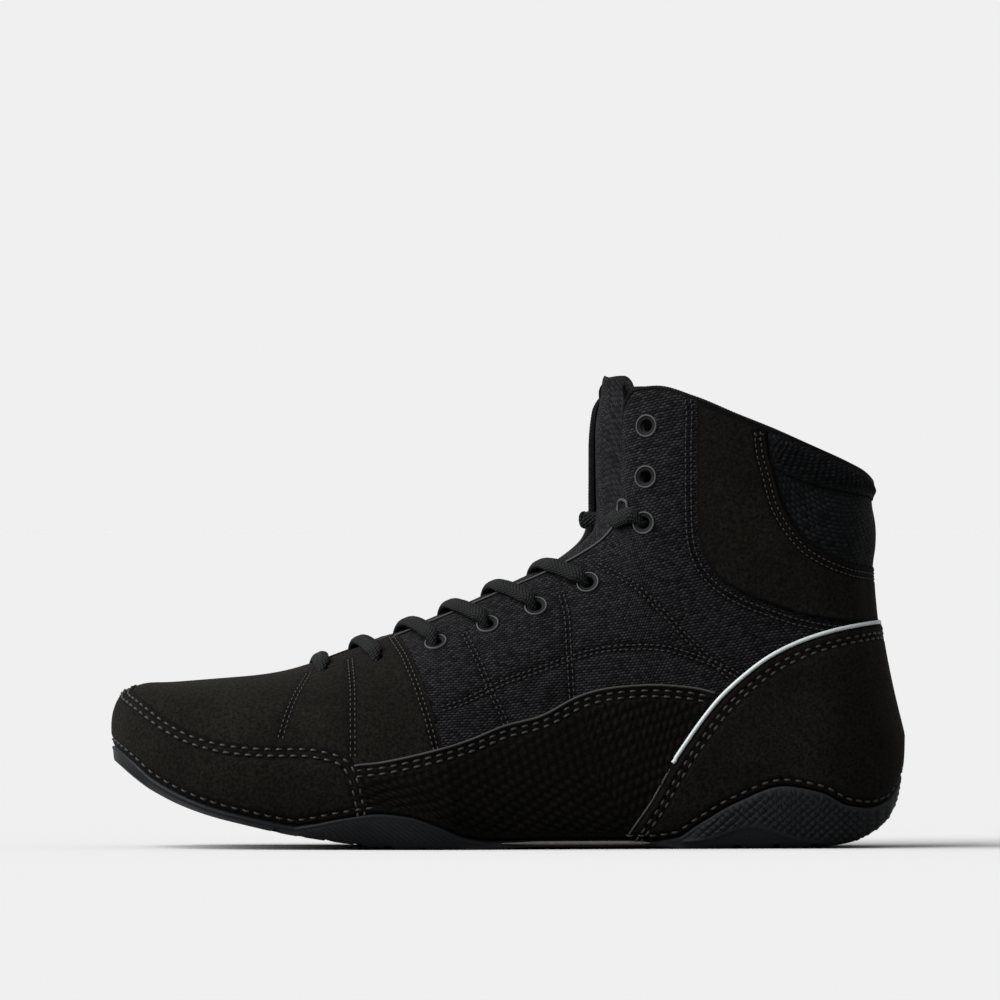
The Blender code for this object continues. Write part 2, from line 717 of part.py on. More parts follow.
def sole_mesh():
    """The cupped sole: a plate with toe spring, arch and heel, and side walls that rise in two waves."""
    loops = []
    for along in COLUMNS:
        halves = []
        for side in ("lateral", "medial"):
            turn = turn_of(along, side)
            brim = wave_row(turn)
            rim = skin(turn, brim, SOLE_GAP + SOLE_WALL)
            foot = skin(turn, 0.0)
            inward = inward_at(turn)
            foot += inward * (TUCK(along) * SOLE_TUCK - SOLE_WALL)
            foot.z = under_height(foot.x)
            knee = rim.lerp(foot, KNEE_IN)
            knee.z = foot.z + KNEE_UP * (rim.z - foot.z)
            side_points = [
                rim * (1 - t) ** 2 + knee * 2 * t * (1 - t) + foot * t * t for t in WALL_STEPS
            ]
            cup = [skin(turn, brim + (-1.0 - brim) * t, SOLE_GAP) for t in CUP_STEPS]
            halves.append((side_points, cup))
        (near, near_cup), (far, far_cup) = halves
        middle_low = (near[-1] + far[-1]) / 2
        middle_low.z = under_height(middle_low.x)
        middle_top = (near_cup[-1] + far_cup[-1]) / 2
        loops.append([*near, middle_low, *reversed(far), *far_cup, middle_top, *reversed(near_cup)])
    count = len(loops[0])
    points = [point for loop in loops for point in loop]
    faces = []
    for i in range(len(loops) - 1):
        for j in range(count):
            k = (j + 1) % count
            faces.append((i * count + j, i * count + k, (i + 1) * count + k, (i + 1) * count + j))
    return mesh_of("outsole", points, faces)


def groove_cutter(shoe, cutters):
    """One mesh of bars that part the tread into its main lugs."""
    built = bmesh.new()
    for along in GROOVES:
        x = along * LENGTH
        top = max(under_height(x - GROOVE_WIDTH / 2), under_height(x + GROOVE_WIDTH / 2)) + GROOVE_DEPTH
        low = -SOLE_THICKNESS
        made = bmesh.ops.create_cube(built, size=1.0)["verts"]
        bmesh.ops.scale(built, verts=made, vec=(GROOVE_WIDTH, GROOVE_REACH, top - low))
        bmesh.ops.rotate(built, verts=made, matrix=Matrix.Rotation(GROOVE_SLANT, 3, "Z"))
        bmesh.ops.translate(built, verts=made, vec=(x, 0.0, (top + low) / 2))
    mesh = bpy.data.meshes.new("sole_grooves")
    built.to_mesh(mesh)
    built.free()
    return hidden_cutter("sole_grooves", mesh, shoe, cutters)


def insole_mesh():
    """The insole, a soft board lying on the upper's turned-in edge."""
    loops = []
    for along in COLUMNS[2:-2]:
        edges = []
        for side in ("lateral", "medial"):
            turn = turn_of(along, side)
            spot = skin(turn, 0.0) + inward_at(turn) * INSOLE_INSET
            spot.z = feather_height(spot.x) + UPPER_WALL + GAP
            edges.append(spot)
        near, far = edges
        top = Vector((0.0, 0.0, INSOLE_THICKNESS))
        loops.append([near, (near + far) / 2, far, far + top, (near + far) / 2 + top, near + top])
    count = len(loops[0])
    points = [point for loop in loops for point in loop]
    faces = []
    for i in range(len(loops) - 1):
        for j in range(count):
            k = (j + 1) % count
            faces.append((i * count + j, i * count + k, (i + 1) * count + k, (i + 1) * count + j))
    faces.append(tuple(range(count)))
    faces.append(tuple(range((len(loops) - 1) * count, len(loops) * count)))
    return mesh_of("insole", points, faces)


def round_toe(end):
    """The turns of a piece that wraps the toe, from one side's end to the other's."""
    inner = [along for along in COLUMNS[1:] if along < end - COLUMN_MARGIN]
    near = [turn_of(along, "lateral") for along in [end, *reversed(inner)]]
    far = [turn_of(along, "medial") for along in [*inner, end]]
    return [*near, 0.0, *far]


def round_heel(start):
    """The turns of a piece that wraps the heel, from one side's start to the other's."""
    inner = [along for along in COLUMNS[:-1] if along > start + COLUMN_MARGIN]
    near = [turn_of(along, "lateral") for along in [start, *inner]]
    far = [turn_of(along, "medial") for along in [*reversed(inner), start]]
    return [*near, 1.0, *far]


def one_side(start, end, side):
    """The turns of a piece on one side only."""
    return [turn_of(along, side) for along in columns_between(start, end)]


def brim_of(room):
    """The lower edge of what stops a little above the rubber, as a function of the turn."""
    return lambda turn: wave_row(turn, room)


def bumper_mesh(edge):
    """The toe bumper, wrapped round the toe down to the rubber."""
    end = min(edge.end.values())
    return overlay_mesh("toe_bumper", round_toe(end), brim_of(RUBBER_ROOM), edge, BUMPER_THICKNESS)


def counter_mesh(edge):
    """The heel counter, wrapped round the heel down to the rubber."""
    start = max(edge.start.values())
    return overlay_mesh("heel_counter", round_heel(start), brim_of(RUBBER_ROOM), edge, COUNTER_THICKNESS)


def panel_mesh(side, bumper, counter, top):
    """A side panel, between the bumper and the piping, down to the rubber."""
    brim = brim_of(RUBBER_ROOM)

    def low(turn):
        along, _ = place_of(turn)
        rows = [brim(turn)]
        if along < bumper.end[side]:
            rows.append(beyond(bumper, turn, PANEL_ROOM))
        if along > counter.start[side]:
            piped = ease(PIPING_START - PIPING_LEAD, PIPING_START, along - counter.start[side])
            room = PANEL_ROOM + (PIPING_DIAMETER + 2 * PIPING_ROOM - PANEL_ROOM) * piped
            rows.append(beyond(counter, turn, room))
        return max(rows)

    start, end = top.start[side], top.end[side]
    while low(turn_of(end, side)) > top(turn_of(end, side)):
        end -= COLUMN_MARGIN / 2
    while low(turn_of(start, side)) > top(turn_of(start, side)):
        start += COLUMN_MARGIN / 2
    return overlay_mesh(f"side_panel_{side}", one_side(start, end, side), low, top, PANEL_THICKNESS)


def ankle_mesh(counter):
    """The ankle piece, from the collar on one side round the back of the heel to the other."""
    own_low = side_tracks(ANKLE_LOW, heel_crest=ANKLE_LOW_CREST)
    high = side_tracks(ANKLE_HIGH, heel_crest=ANKLE_HIGH_CREST)
    start = max(*own_low.start.values(), *high.start.values())

    def low(turn):
        return max(own_low(turn), beyond(counter, turn, PIPING_DIAMETER + 2 * PIPING_ROOM))

    return overlay_mesh("ankle_piece", round_heel(start), low, high, ANKLE_THICKNESS)


def piping_path(edge):
    """The piping's run just outside the counter's upper edge."""
    start = max(edge.start.values()) + PIPING_START
    points = []
    for turn in round_heel(start):
        v = beyond(edge, turn, PIPING_ROOM + PIPING_DIAMETER / 2)
        points.append(skin(turn, v, wall_out(turn, v) + OVERLAY_GAP + PIPING_DIAMETER / 2))
    return points


def tube(name, points, diameter, finish, shoe, parts):
    """A round cord of one diameter along points."""
    curve = bpy.data.curves.new(name, "CURVE")
    curve.dimensions = "3D"
    curve.bevel_depth = diameter / 2
    curve.bevel_resolution = 1
    curve.use_fill_caps = True
    spline = curve.splines.new("POLY")
    spline.points.add(len(points) - 1)
    for target, point in zip(spline.points, points):
        target.co = (*point, 1.0)
    piece = bpy.data.objects.new(name, curve)
    curve.materials.append(material(name, *finish))
    piece.parent = shoe
    parts.objects.link(piece)
    return piece


def tongue_section(along):
    """Seven points across the tongue, from under one quarter to under the other."""
    depth = -(UPPER_WALL + TONGUE_ROOM)
    halves = []
    for side in ("lateral", "medial"):
        turn = turn_of(along, side)
        halves.append([skin(turn, v, depth) for v in (1 - TONGUE_LAP, 1 - TONGUE_LAP / 2, 1.0)])
    near, far = halves
    middle = (near[-1] + far[-1]) / 2
    opened = ease(*TONGUE_OPENS, along)
    upright = ease(*TONGUE_STANDS, along)
    middle.z += TONGUE_CROWN * opened * (1 - upright)
    middle.x -= TONGUE_BOW * upright + TONGUE_PRESS * opened
    return [*near, middle, *reversed(far)]


def tongue_mesh():
    """The tongue's outer face, an open sheet under the quarters that rises above the collar's front."""
    sections = [tongue_section(along) for along in TONGUE_COLUMNS]
    last_one = sections[-1]
    middle = last_one[len(last_one) // 2]
    for share, narrow in TONGUE_TOP:
        risen = []
        for point in last_one:
            moved = middle.lerp(point, narrow)
            moved.z += (TONGUE_RISE + SHAFT_HEIGHT - middle.z) * share
            moved.x += TONGUE_NOD * share
            risen.append(moved)
        sections.append(risen)
    count = len(last_one)
    points = [point for section in sections for point in section]
    faces = [
        (i * count + j, i * count + j + 1, (i + 1) * count + j + 1, (i + 1) * count + j)
        for i in range(len(sections) - 1)
        for j in range(count - 1)
    ]
    return mesh_of("tongue", points, faces)


def band_mesh(name, path, ups, width, thickness):
    """A flat strap of oval section along a path, with its broad side towards each up."""
    angles = [2 * math.pi * k / LACE_SIDES for k in range(LACE_SIDES)]
    ring = [(math.cos(angle), math.sin(angle)) for angle in angles]
    points, faces = [], []
    for i, (spot, up) in enumerate(zip(path, ups)):
        ahead = path[min(i + 1, len(path) - 1)] - path[max(i - 1, 0)]
        across = ahead.cross(up).normalized()
        rise = across.cross(ahead).normalized()
        points += [spot + across * (c * width / 2) + rise * (s * thickness / 2) for c, s in ring]
    for i in range(len(path) - 1):
        for j in range(LACE_SIDES):
            k = (j + 1) % LACE_SIDES
            low, high = i * LACE_SIDES, (i + 1) * LACE_SIDES
            faces.append((low + j, low + k, high + k, high + j))
    faces.append(tuple(range(LACE_SIDES)))
    faces.append(tuple(range(len(points) - LACE_SIDES, len(points))))
    return mesh_of(name, points, faces)


def lace_strand(eyelets, side, number):
    """The run of a strand from its eyelet over the throat's edge and on towards the pair below it."""
    other = "medial" if side == "lateral" else "lateral"
    turn, v = eyelets[side, number]
    over = EYELETS[number - 1].over
    far = over + (EYELETS[number - 2].over - over) * LACE_LEAN
    over_turn, far_turn = turn_of(over, side), turn_of(far, other)
    path, ups = [], []
    for t in LACE_ON_QUARTER:
        at = turn + (over_turn - turn) * t
        row = v + (1 - v) * t
        path.append(skin(at, row, wall_out(at, row) + LACE_LIFT))
        ups.append(normal_at(at, row))
    near_edge = path[-1]
    far_edge = skin(far_turn, 1.0, LACE_LIFT)
    crown = (ups[-1] + normal_at(far_turn, 1.0)).normalized()
    for t in LACE_OVER_TONGUE:
        arch = LACE_ARCH * 4 * t * (1 - t) - LACE_DIVE * ease(*LACE_DIVE_SPAN, t)
        path.append(near_edge.lerp(far_edge, t) + crown * arch)
        ups.append(crown)
    return path, ups


def lace_pieces(shoe, parts, cutters):
    """The lowest bar and the crossings above it, each pair of crossing strands joined."""
    eyelets = {}
    for side in ("lateral", "medial"):
        for number, mark in enumerate(EYELETS, start=1):
            eyelets[side, number] = find(mark, side)
    finish = (LACE_CHARCOAL, 0.8)
    halves = []
    for side in ("lateral", "medial"):
        turn, v = eyelets[side, 1]
        rows = [v + (1 - v) * t for t in LACE_ON_QUARTER]
        halves.append(
            [(skin(turn, row, wall_out(turn, row) + LACE_LIFT), normal_at(turn, row)) for row in rows]
        )
    near, far = halves
    path = [spot for spot, _ in (*near, *reversed(far))]
    ups = [up for _, up in (*near, *reversed(far))]
    bar = band_mesh("lace_bar", path, ups, LACE_WIDTH, LACE_THICKNESS)
    place("lace_bar", bar, finish, shoe, parts)
    for number in range(2, LACED_PAIRS + 1):
        name = f"lace_crossing_{number - 1}"
        strands = []
        for side in ("lateral", "medial"):
            path, ups = lace_strand(eyelets, side, number)
            strands.append(band_mesh(name, path, ups, LACE_WIDTH, LACE_THICKNESS))
        crossing = place(name, strands[0], finish, shoe, parts)
        boolean(crossing, "UNION", hidden_cutter(f"{name}_other", strands[1], shoe, cutters))


def ring_mesh(name, centre, normal):
    """A rolled eyelet: a flange on the upper's face and a barrel in its hole."""
    bore, barrel = EYELET_BORE / 2, EYELET_BARREL / 2
    rim = EYELET_DIAMETER / 2
    profile = (
        (bore, -UPPER_WALL),
        (barrel, -UPPER_WALL),
        (barrel, FLANGE_GAP),
        (rim, FLANGE_GAP),
        (rim - EYELET_FLANGE, FLANGE_GAP + EYELET_FLANGE),
        (bore, FLANGE_GAP + EYELET_FLANGE),
    )
    turn_to = normal.to_track_quat("Z", "Y")
    count = len(profile)
    points = []
    for k in range(HOLE_SIDES):
        angle = 2 * math.pi * k / HOLE_SIDES
        for radius, height in profile:
            spot = Vector((radius * math.cos(angle), radius * math.sin(angle), height))
            points.append(centre + turn_to @ spot)
    faces = []
    for k in range(HOLE_SIDES):
        n = (k + 1) % HOLE_SIDES
        for j in range(count):
            m = (j + 1) % count
            faces.append((k * count + j, n * count + j, n * count + m, k * count + m))
    return mesh_of(name, points, faces)


def eyelet_spots():
    """Side, pair number, centre and outward direction of each eyelet."""
    spots = []
    for side in ("lateral", "medial"):
        for number, mark in enumerate(EYELETS, start=1):
            turn, v = find(mark, side)
            spots.append((side, number, skin(turn, v, wall_out(turn, v)), normal_at(turn, v)))
    return spots


def hole_cutter(spots, shoe, cutters):
    """One mesh of round bars that punches every eyelet's hole."""
    built = bmesh.new()
    for _, _, centre, normal in spots:
        turn_to = normal.to_track_quat("Z", "Y").to_matrix().to_4x4()
        turn_to.translation = centre - normal * (UPPER_WALL / 2)
        bmesh.ops.create_cone(
            built,
            cap_ends=True,
            segments=HOLE_SIDES,
            radius1=EYELET_BARREL / 2 + HOLE_CLEARANCE,
            radius2=EYELET_BARREL / 2 + HOLE_CLEARANCE,
            depth=UPPER_WALL * 3,
            matrix=turn_to,
        )
    mesh = bpy.data.meshes.new("eyelet_holes")
    built.to_mesh(mesh)
    built.free()
    return hidden_cutter("eyelet_holes", mesh, shoe, cutters)


def hidden_cutter(name, mesh, shoe, cutters):
    """A cutter that neither the render nor the build shows."""
    cutter = bpy.data.objects.new(name, mesh)
    cutter.hide_render = True
    cutter.display_type = "WIRE"
    cutter.parent = shoe
    cutters.objects.link(cutter)
    return cutter


def boolean(piece, operation, other):
    """An exact Boolean on a piece."""
    change = piece.modifiers.new(other.name, "BOOLEAN")
    change.operation = operation
    change.object = other
    change.solver = "EXACT"


def stand(shoe, parts):
    """Move the shoe so that its origin is the middle of its footprint, on the floor."""
    bpy.context.view_layer.update()
    graph = bpy.context.evaluated_depsgraph_get()
    points = []
    for piece in parts.objects:
        if piece.type == "EMPTY":
            continue
        shaped = piece.evaluated_get(graph)
        points += [vertex.co.copy() for vertex in shaped.to_mesh().vertices]
        shaped.to_mesh_clear()
    low = [min(point[axis] for point in points) for axis in range(3)]
    high = [max(point[axis] for point in points) for axis in range(3)]
    shoe.location = (-(low[0] + high[0]) / 2, -(low[1] + high[1]) / 2, -low[2])


def main():
    """Build every piece of the shoe and stand it on its footprint's middle."""
    for old in list(bpy.data.objects):
        bpy.data.objects.remove(old, do_unlink=True)
    parts = bpy.data.collections.new("wrestling_shoe")
    cutters = bpy.data.collections.new("cutters")
    bpy.context.scene.collection.children.link(parts)
    bpy.context.scene.collection.children.link(cutters)
    shoe = bpy.data.objects.new("shoe", None)
    parts.objects.link(shoe)

    upper = place("upper", upper_mesh(), (KNIT_BLACK, 0.9), shoe, parts)
    outsole = place("outsole", sole_mesh(), (RUBBER_GREY, 0.6), shoe, parts)
    boolean(outsole, "DIFFERENCE", groove_cutter(shoe, cutters))
    place("insole", insole_mesh(), (LINING_BLACK, 0.9), shoe, parts)

    tongue = place("tongue", tongue_mesh(), (KNIT_BLACK, 0.9), shoe, parts)
    padding = tongue.modifiers.new("padding", "SOLIDIFY")
    padding.thickness = TONGUE_THICKNESS
    padding.offset = -1
    padding.use_even_offset = True

    bumper_edge = side_tracks(BUMPER_EDGE, toe_crest=BUMPER_CREST)
    counter_edge = side_tracks(COUNTER_EDGE, heel_crest=COUNTER_CREST)
    panel_edge = side_tracks(PANEL_EDGE)
    suede = (LEATHER_BLACK, 0.85)
    place("toe_bumper", bumper_mesh(bumper_edge), suede, shoe, parts)
    place("heel_counter", counter_mesh(counter_edge), suede, shoe, parts)
    place("ankle_piece", ankle_mesh(counter_edge), suede, shoe, parts)
    for side in ("lateral", "medial"):
        panel = panel_mesh(side, bumper_edge, counter_edge, panel_edge)
        place(f"side_panel_{side}", panel, (RUBBER_GREY, 0.6), shoe, parts)
    tube("heel_piping", piping_path(counter_edge), PIPING_DIAMETER, (PIPING_SILVER, 0.35), shoe, parts)

    lace_pieces(shoe, parts, cutters)

    spots = eyelet_spots()
    boolean(upper, "DIFFERENCE", hole_cutter(spots, shoe, cutters))
    for side, number, centre, normal in spots:
        if number > PUNCHED_PAIRS:
            name = f"eyelet_{side}_{number}"
            place(name, ring_mesh(name, centre, normal), (RING_GREY, 0.35, 0.8), shoe, parts)
    stand(shoe, parts)


main()
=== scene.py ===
"""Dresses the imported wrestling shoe: suede, knit, rubber, lace and thread laid round one last.

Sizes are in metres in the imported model's frame: -X to the toe, +X to the heel, -Y to the outer side,
+Z up. Every piece is worked out from the last, so it lies where the solids lie. Seams are placed by
their spots in the photograph, through the same camera that the scene uses.
"""

from __future__ import annotations

import logging
import math
from dataclasses import dataclass, field
from enum import Enum
from functools import partial
from typing import Callable, Sequence

import bmesh
import bpy
import numpy as np
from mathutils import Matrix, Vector
from mathutils.kdtree import KDTree

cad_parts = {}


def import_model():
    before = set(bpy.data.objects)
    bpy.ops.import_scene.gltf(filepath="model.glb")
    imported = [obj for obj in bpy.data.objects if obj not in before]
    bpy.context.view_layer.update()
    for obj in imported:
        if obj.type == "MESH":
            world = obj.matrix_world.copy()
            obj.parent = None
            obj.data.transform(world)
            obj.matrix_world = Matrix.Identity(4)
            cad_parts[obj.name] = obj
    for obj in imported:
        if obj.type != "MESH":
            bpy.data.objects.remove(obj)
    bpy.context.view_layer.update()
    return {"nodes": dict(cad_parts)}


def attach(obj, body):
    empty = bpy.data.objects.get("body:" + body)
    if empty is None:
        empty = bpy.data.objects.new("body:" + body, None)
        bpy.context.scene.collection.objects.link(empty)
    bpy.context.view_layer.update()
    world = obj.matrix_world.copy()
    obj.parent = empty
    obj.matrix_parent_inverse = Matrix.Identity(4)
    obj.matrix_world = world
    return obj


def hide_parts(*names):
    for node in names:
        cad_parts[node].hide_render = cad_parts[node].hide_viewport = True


LOG = logging.getLogger("shoe")
Array = np.ndarray
Rows = Sequence[Sequence[float]]
Marks = Sequence[tuple[float, float]]

# Outline from above: along the last, then the reach of each side as shares of the ball's width
OUTLINE = (
    (0.00, 0.455, 0.405), (0.10, 0.475, 0.430), (0.20, 0.505, 0.455), (0.30, 0.530, 0.470),
    (0.385, 0.535, 0.445), (0.48, 0.485, 0.370), (0.60, 0.420, 0.312), (0.70, 0.382, 0.305),
    (0.80, 0.360, 0.312), (0.90, 0.345, 0.312), (1.00, 0.335, 0.305),
)
# Underside: along, toe spring, the plate's share of its thickness, and how far its foot tucks in
UNDER = (
    (0.000, 1.000, 0.66, 0.15), (0.013, 0.900, 0.64, 0.22), (0.030, 0.770, 0.60, 0.30),
    (0.053, 0.620, 0.56, 0.38), (0.083, 0.484, 0.52, 0.48), (0.120, 0.365, 0.50, 0.60),
    (0.164, 0.265, 0.52, 0.72), (0.214, 0.165, 0.56, 0.80), (0.263, 0.095, 0.58, 0.85),
    (0.320, 0.030, 0.58, 0.85), (0.375, 0.000, 0.54, 0.80), (0.450, 0.000, 0.42, 0.70),
    (0.540, 0.000, 0.30, 0.60), (0.660, 0.000, 0.30, 0.60), (0.740, 0.000, 0.60, 0.75),
    (0.820, 0.000, 0.90, 0.95), (0.900, 0.000, 1.00, 1.25), (1.000, 0.000, 1.00, 2.00),
)
HEEL_UNDER = (
    (0.880, 0.000), (0.920, 0.060), (0.945, 0.150), (0.960, 0.240), (0.972, 0.330),
    (0.985, 0.520), (1.000, 1.000),
)
# The rubber's upper edge above the floor, as a share of the heel wave
WAVE = (
    (0.000, 1.730), (0.025, 1.430), (0.050, 1.120), (0.083, 0.830), (0.125, 0.600), (0.165, 0.480),
    (0.200, 0.415), (0.240, 0.440), (0.285, 0.520), (0.328, 0.578), (0.365, 0.530), (0.405, 0.370),
    (0.445, 0.200), (0.480, 0.160), (0.660, 0.160), (0.705, 0.210), (0.735, 0.420), (0.780, 0.740),
    (0.840, 1.000), (0.885, 0.910), (0.925, 0.690), (0.950, 0.660), (1.000, 0.900),
)
# Sections: along, widest height, top line's place and rise, half gap, 1 on the collar, sweep,
# fullness, flare of the inner side's throat
SECTIONS = (
    (0.000, 0.740, 0.058, 0.3510, 0.00, 0, 90, 2.40, 0.0),
    (0.020, 0.690, 0.070, 0.3525, 0.00, 0, 90, 2.40, 0.0),
    (0.070, 0.560, 0.107, 0.3560, 0.00, 0, 90, 2.35, 0.0),
    (0.140, 0.440, 0.171, 0.3650, 0.00, 0, 90, 2.30, 0.0),
    (0.210, 0.400, 0.235, 0.3860, 0.00, 0, 90, 2.20, 0.0),
    (0.238, 0.395, 0.259, 0.3970, 0.00, 0, 90, 2.20, 0.0),
    (0.252, 0.395, 0.270, 0.4035, 0.26, 0, 82, 2.20, 0.0),
    (0.272, 0.395, 0.289, 0.4160, 0.36, 0, 76, 2.15, 0.0),
    (0.323, 0.395, 0.340, 0.4480, 0.42, 0, 70, 2.10, 0.0),
    (0.375, 0.400, 0.391, 0.4830, 0.45, 0, 66, 2.05, 0.0),
    (0.428, 0.405, 0.442, 0.5200, 0.47, 0, 62, 2.00, 0.0),
    (0.480, 0.415, 0.492, 0.5580, 0.48, 0, 59, 2.00, 0.0),
    (0.533, 0.430, 0.542, 0.5950, 0.49, 0, 56, 2.00, 0.1),
    (0.580, 0.450, 0.586, 0.6340, 0.51, 0, 52, 2.00, 0.3),
    (0.617, 0.470, 0.621, 0.6770, 0.53, 0, 48, 2.00, 0.6),
    (0.645, 0.490, 0.637, 0.7220, 0.55, 0, 44, 2.00, 0.9),
    (0.667, 0.505, 0.6405, 0.7800, 0.56, 0, 40, 2.00, 1.0),
    (0.688, 0.520, 0.6408, 0.8680, 0.57, 0, 36, 2.00, 1.0),
    (0.706, 0.535, 0.6420, 0.9480, 0.60, 0, 33, 2.00, 0.9),
    (0.722, 0.550, 0.6540, 0.9930, 0.285, 1, 31, 2.00, 0.6),
    (0.744, 0.570, 0.6810, 1.0000, 0.355, 1, 30, 2.00, 0.2),
    (0.780, 0.600, 0.7260, 0.9780, 0.445, 1, 30, 2.00, 0.0),
    (0.818, 0.630, 0.7760, 0.9420, 0.492, 1, 30, 2.00, 0.0),
    (0.860, 0.655, 0.8290, 0.9050, 0.500, 1, 30, 2.00, 0.0),
    (0.902, 0.670, 0.8780, 0.8690, 0.455, 1, 30, 2.00, 0.0),
    (0.940, 0.680, 0.9200, 0.8380, 0.360, 1, 30, 2.00, 0.0),
    (0.972, 0.685, 0.9470, 0.8150, 0.225, 1, 30, 2.00, 0.0),
    (0.993, 0.690, 0.9580, 0.7990, 0.085, 1, 30, 2.00, 0.0),
    (1.000, 0.690, 0.9600, 0.7940, 0.000, 1, 30, 2.00, 0.0),
)
# The toe's ridge: along the last, then its height as a share of the toe's
RIDGE = (
    (0.000, 0.990), (0.063, 0.993), (0.105, 1.005), (0.165, 1.029), (0.215, 1.065),
    (0.260, 1.125), (0.300, 1.195),
)

# Spots in the photograph's 1000 by 1000 frame
BUMPER_MARKS = ((135, 695), (152, 708), (170, 721), (193, 733), (220, 741), (250, 745), (280, 746),
                (307, 746), (328, 749), (344, 754), (355, 763), (361, 775), (366, 792), (370, 812))
PANEL_TOP = ((344, 768), (360, 765), (380, 763), (410, 757), (442, 749), (472, 739), (504, 726),
             (541, 716), (575, 698), (605, 689), (644, 685), (678, 686), (701, 689), (726, 696))
COUNTER_MARKS = ((629, 833), (640, 818), (652, 801), (671, 768), (689, 741), (707, 716), (725, 695),
                 (751, 672), (774, 656), (801, 643), (831, 633), (858, 627), (878, 624))
PIPING_FROM = 3
ANKLE_FRONT = ((698, 412), (697, 440), (697, 473), (697, 505), (698, 532), (701, 549), (708, 565),
               (719, 578), (733, 588), (748, 596), (778, 607), (800, 614), (830, 620), (862, 622))
ANKLE_REAR = ((767, 440), (769, 455), (773, 469), (781, 500), (788, 515), (796, 528), (806, 540),
              (816, 548), (832, 557), (850, 564), (866, 567))
PAD_SEAM = ((771, 466), (790, 477), (809, 484), (832, 490), (852, 494), (866, 497))
VAMP_EDGE = ((398, 634), (401, 640), (410, 654), (417, 670), (423, 685), (428, 700), (433, 715),
             (437, 730), (442, 749), (447, 775), (450, 800))
VAMP_SEAMS = (((309, 676), (297, 696), (288, 716), (281, 738)),
              ((351, 662), (353, 690), (353, 712), (353, 735), (353, 756)))
QUILT_SEAMS = (
    ((465, 634), (479, 662), (490, 689), (501, 712), (506, 724)),
    ((562, 596), (567, 616), (569, 650), (572, 697)),
    ((444, 708), (465, 701), (504, 682), (541, 669), (568, 659), (600, 650), (633, 647), (667, 649),
     (701, 659), (729, 670), (742, 678)),
    ((600, 566), (633, 584), (662, 611), (685, 636), (713, 662), (729, 676)),
)
EYELETS = ((324, 672), (378, 660), (436, 643), (488, 625), (536, 607), (588, 583), (644, 523),
           (646, 477), (647, 426))
KEEPER_MARKS = ((621, 518), (621, 508), (622, 502), (625, 500), (629, 502), (630, 508), (630, 518))
# Where each laced strand crosses the throat's edge, along the last
LACE_OVER = (0.262, 0.303, 0.366, 0.422, 0.480, 0.546, 0.640)
PUNCHED_PAIRS = 2


def ease(low: float, high: float, at: Array) -> Array:
    """Step smoothly from 0 below low to 1 above high.

    Args:
        low: Where the step starts.
        high: Where the step ends.
        at: The values to look up.

    Returns:
        A share from 0 to 1 for each value.
    """
    t = np.clip((np.asarray(at, float) - low) / (high - low), 0.0, 1.0)
    return t * t * (3 - 2 * t)


def unit(vectors: Array) -> Array:
    """Return the vectors at length 1."""
    return vectors / np.maximum(np.linalg.norm(vectors, axis=-1, keepdims=True), 1e-12)


def resample(path: Array, count: int, by: Array | None = None) -> Array:
    """Space a path's points evenly.

    Args:
        path: Points in any space, one to a row.
        count: How many points to return.
        by: Points in metres that set the spacing, where the path is in other units.

    Returns:
        The path at even steps of length.
    """
    ruler = path if by is None else by
    length = np.concatenate(([0.0], np.cumsum(np.linalg.norm(np.diff(ruler, axis=0), axis=1))))
    length += np.arange(len(length)) * 1e-12
    at = np.linspace(0.0, length[-1], count)
    return np.stack([np.interp(at, length, path[:, k]) for k in range(path.shape[1])], axis=1)


def smooth_path(points: Array, count: int) -> Array:
    """Run a Catmull-Rom curve through points.

    Args:
        points: The points that the curve passes.
        count: How many points to return.

    Returns:
        Points along the curve.
    """
    points = np.asarray(points, float)
    padded = np.vstack((2 * points[0] - points[1], points, 2 * points[-1] - points[-2]))
    at = np.linspace(0.0, len(points) - 1 - 1e-9, count)
    i = at.astype(int)
    t = (at - i)[:, None]
    a, b, c, d = (padded[i + k] for k in range(4))
    return 0.5 * (2 * b + (c - a) * t + (2 * a - 5 * b + 4 * c - d) * t**2 + (3 * b - a - 3 * c + d) * t**3)


class Side(Enum):
    """The two sides of the shoe; the value is the sign of a place round the last."""

    OUTER = 1
    INNER = -1

    @property
    def word(self) -> str:
        """The side's word in a piece's name."""
        return "outer" if self is Side.OUTER else "inner"

    @property
    def node(self) -> str:
        """The side's word in a solid's name."""
        return "lateral" if self is Side.OUTER else "medial"


class Track:
    """A smooth run through a table's column, which never overshoots its rows."""

    def __init__(self, keys: Sequence[float], values: Sequence[float]) -> None:
        self.keys = np.array(keys, float)
        self.values = np.array(values, float)
        falls = np.diff(self.values) / np.diff(self.keys)
        left, right = falls[:-1], falls[1:]
        same = left * right > 0
        inner = np.where(same, 2 * left * right / np.where(same, left + right, 1.0), 0.0)
        self.slopes = np.concatenate((falls[:1], inner, falls[-1:]))

    def __call__(self, at: Array) -> Array:
        """Return the column's value at each place."""
        at = np.clip(at, self.keys[0], self.keys[-1])
        i = np.clip(np.searchsorted(self.keys, at, side="right") - 1, 0, len(self.keys) - 2)
        step = self.keys[i + 1] - self.keys[i]
        t = (at - self.keys[i]) / step
        start = (1 + 2 * t) * (1 - t) ** 2 * self.values[i] + t * (1 - t) ** 2 * step * self.slopes[i]
        return start + t * t * (3 - 2 * t) * self.values[i + 1] + t * t * (t - 1) * step * self.slopes[i + 1]


def tracks(rows: Rows) -> list[Track]:
    """Return a Track for each column of a table after its first."""
    columns = list(zip(*rows))
    return [Track(columns[0], column) for column in columns[1:]]


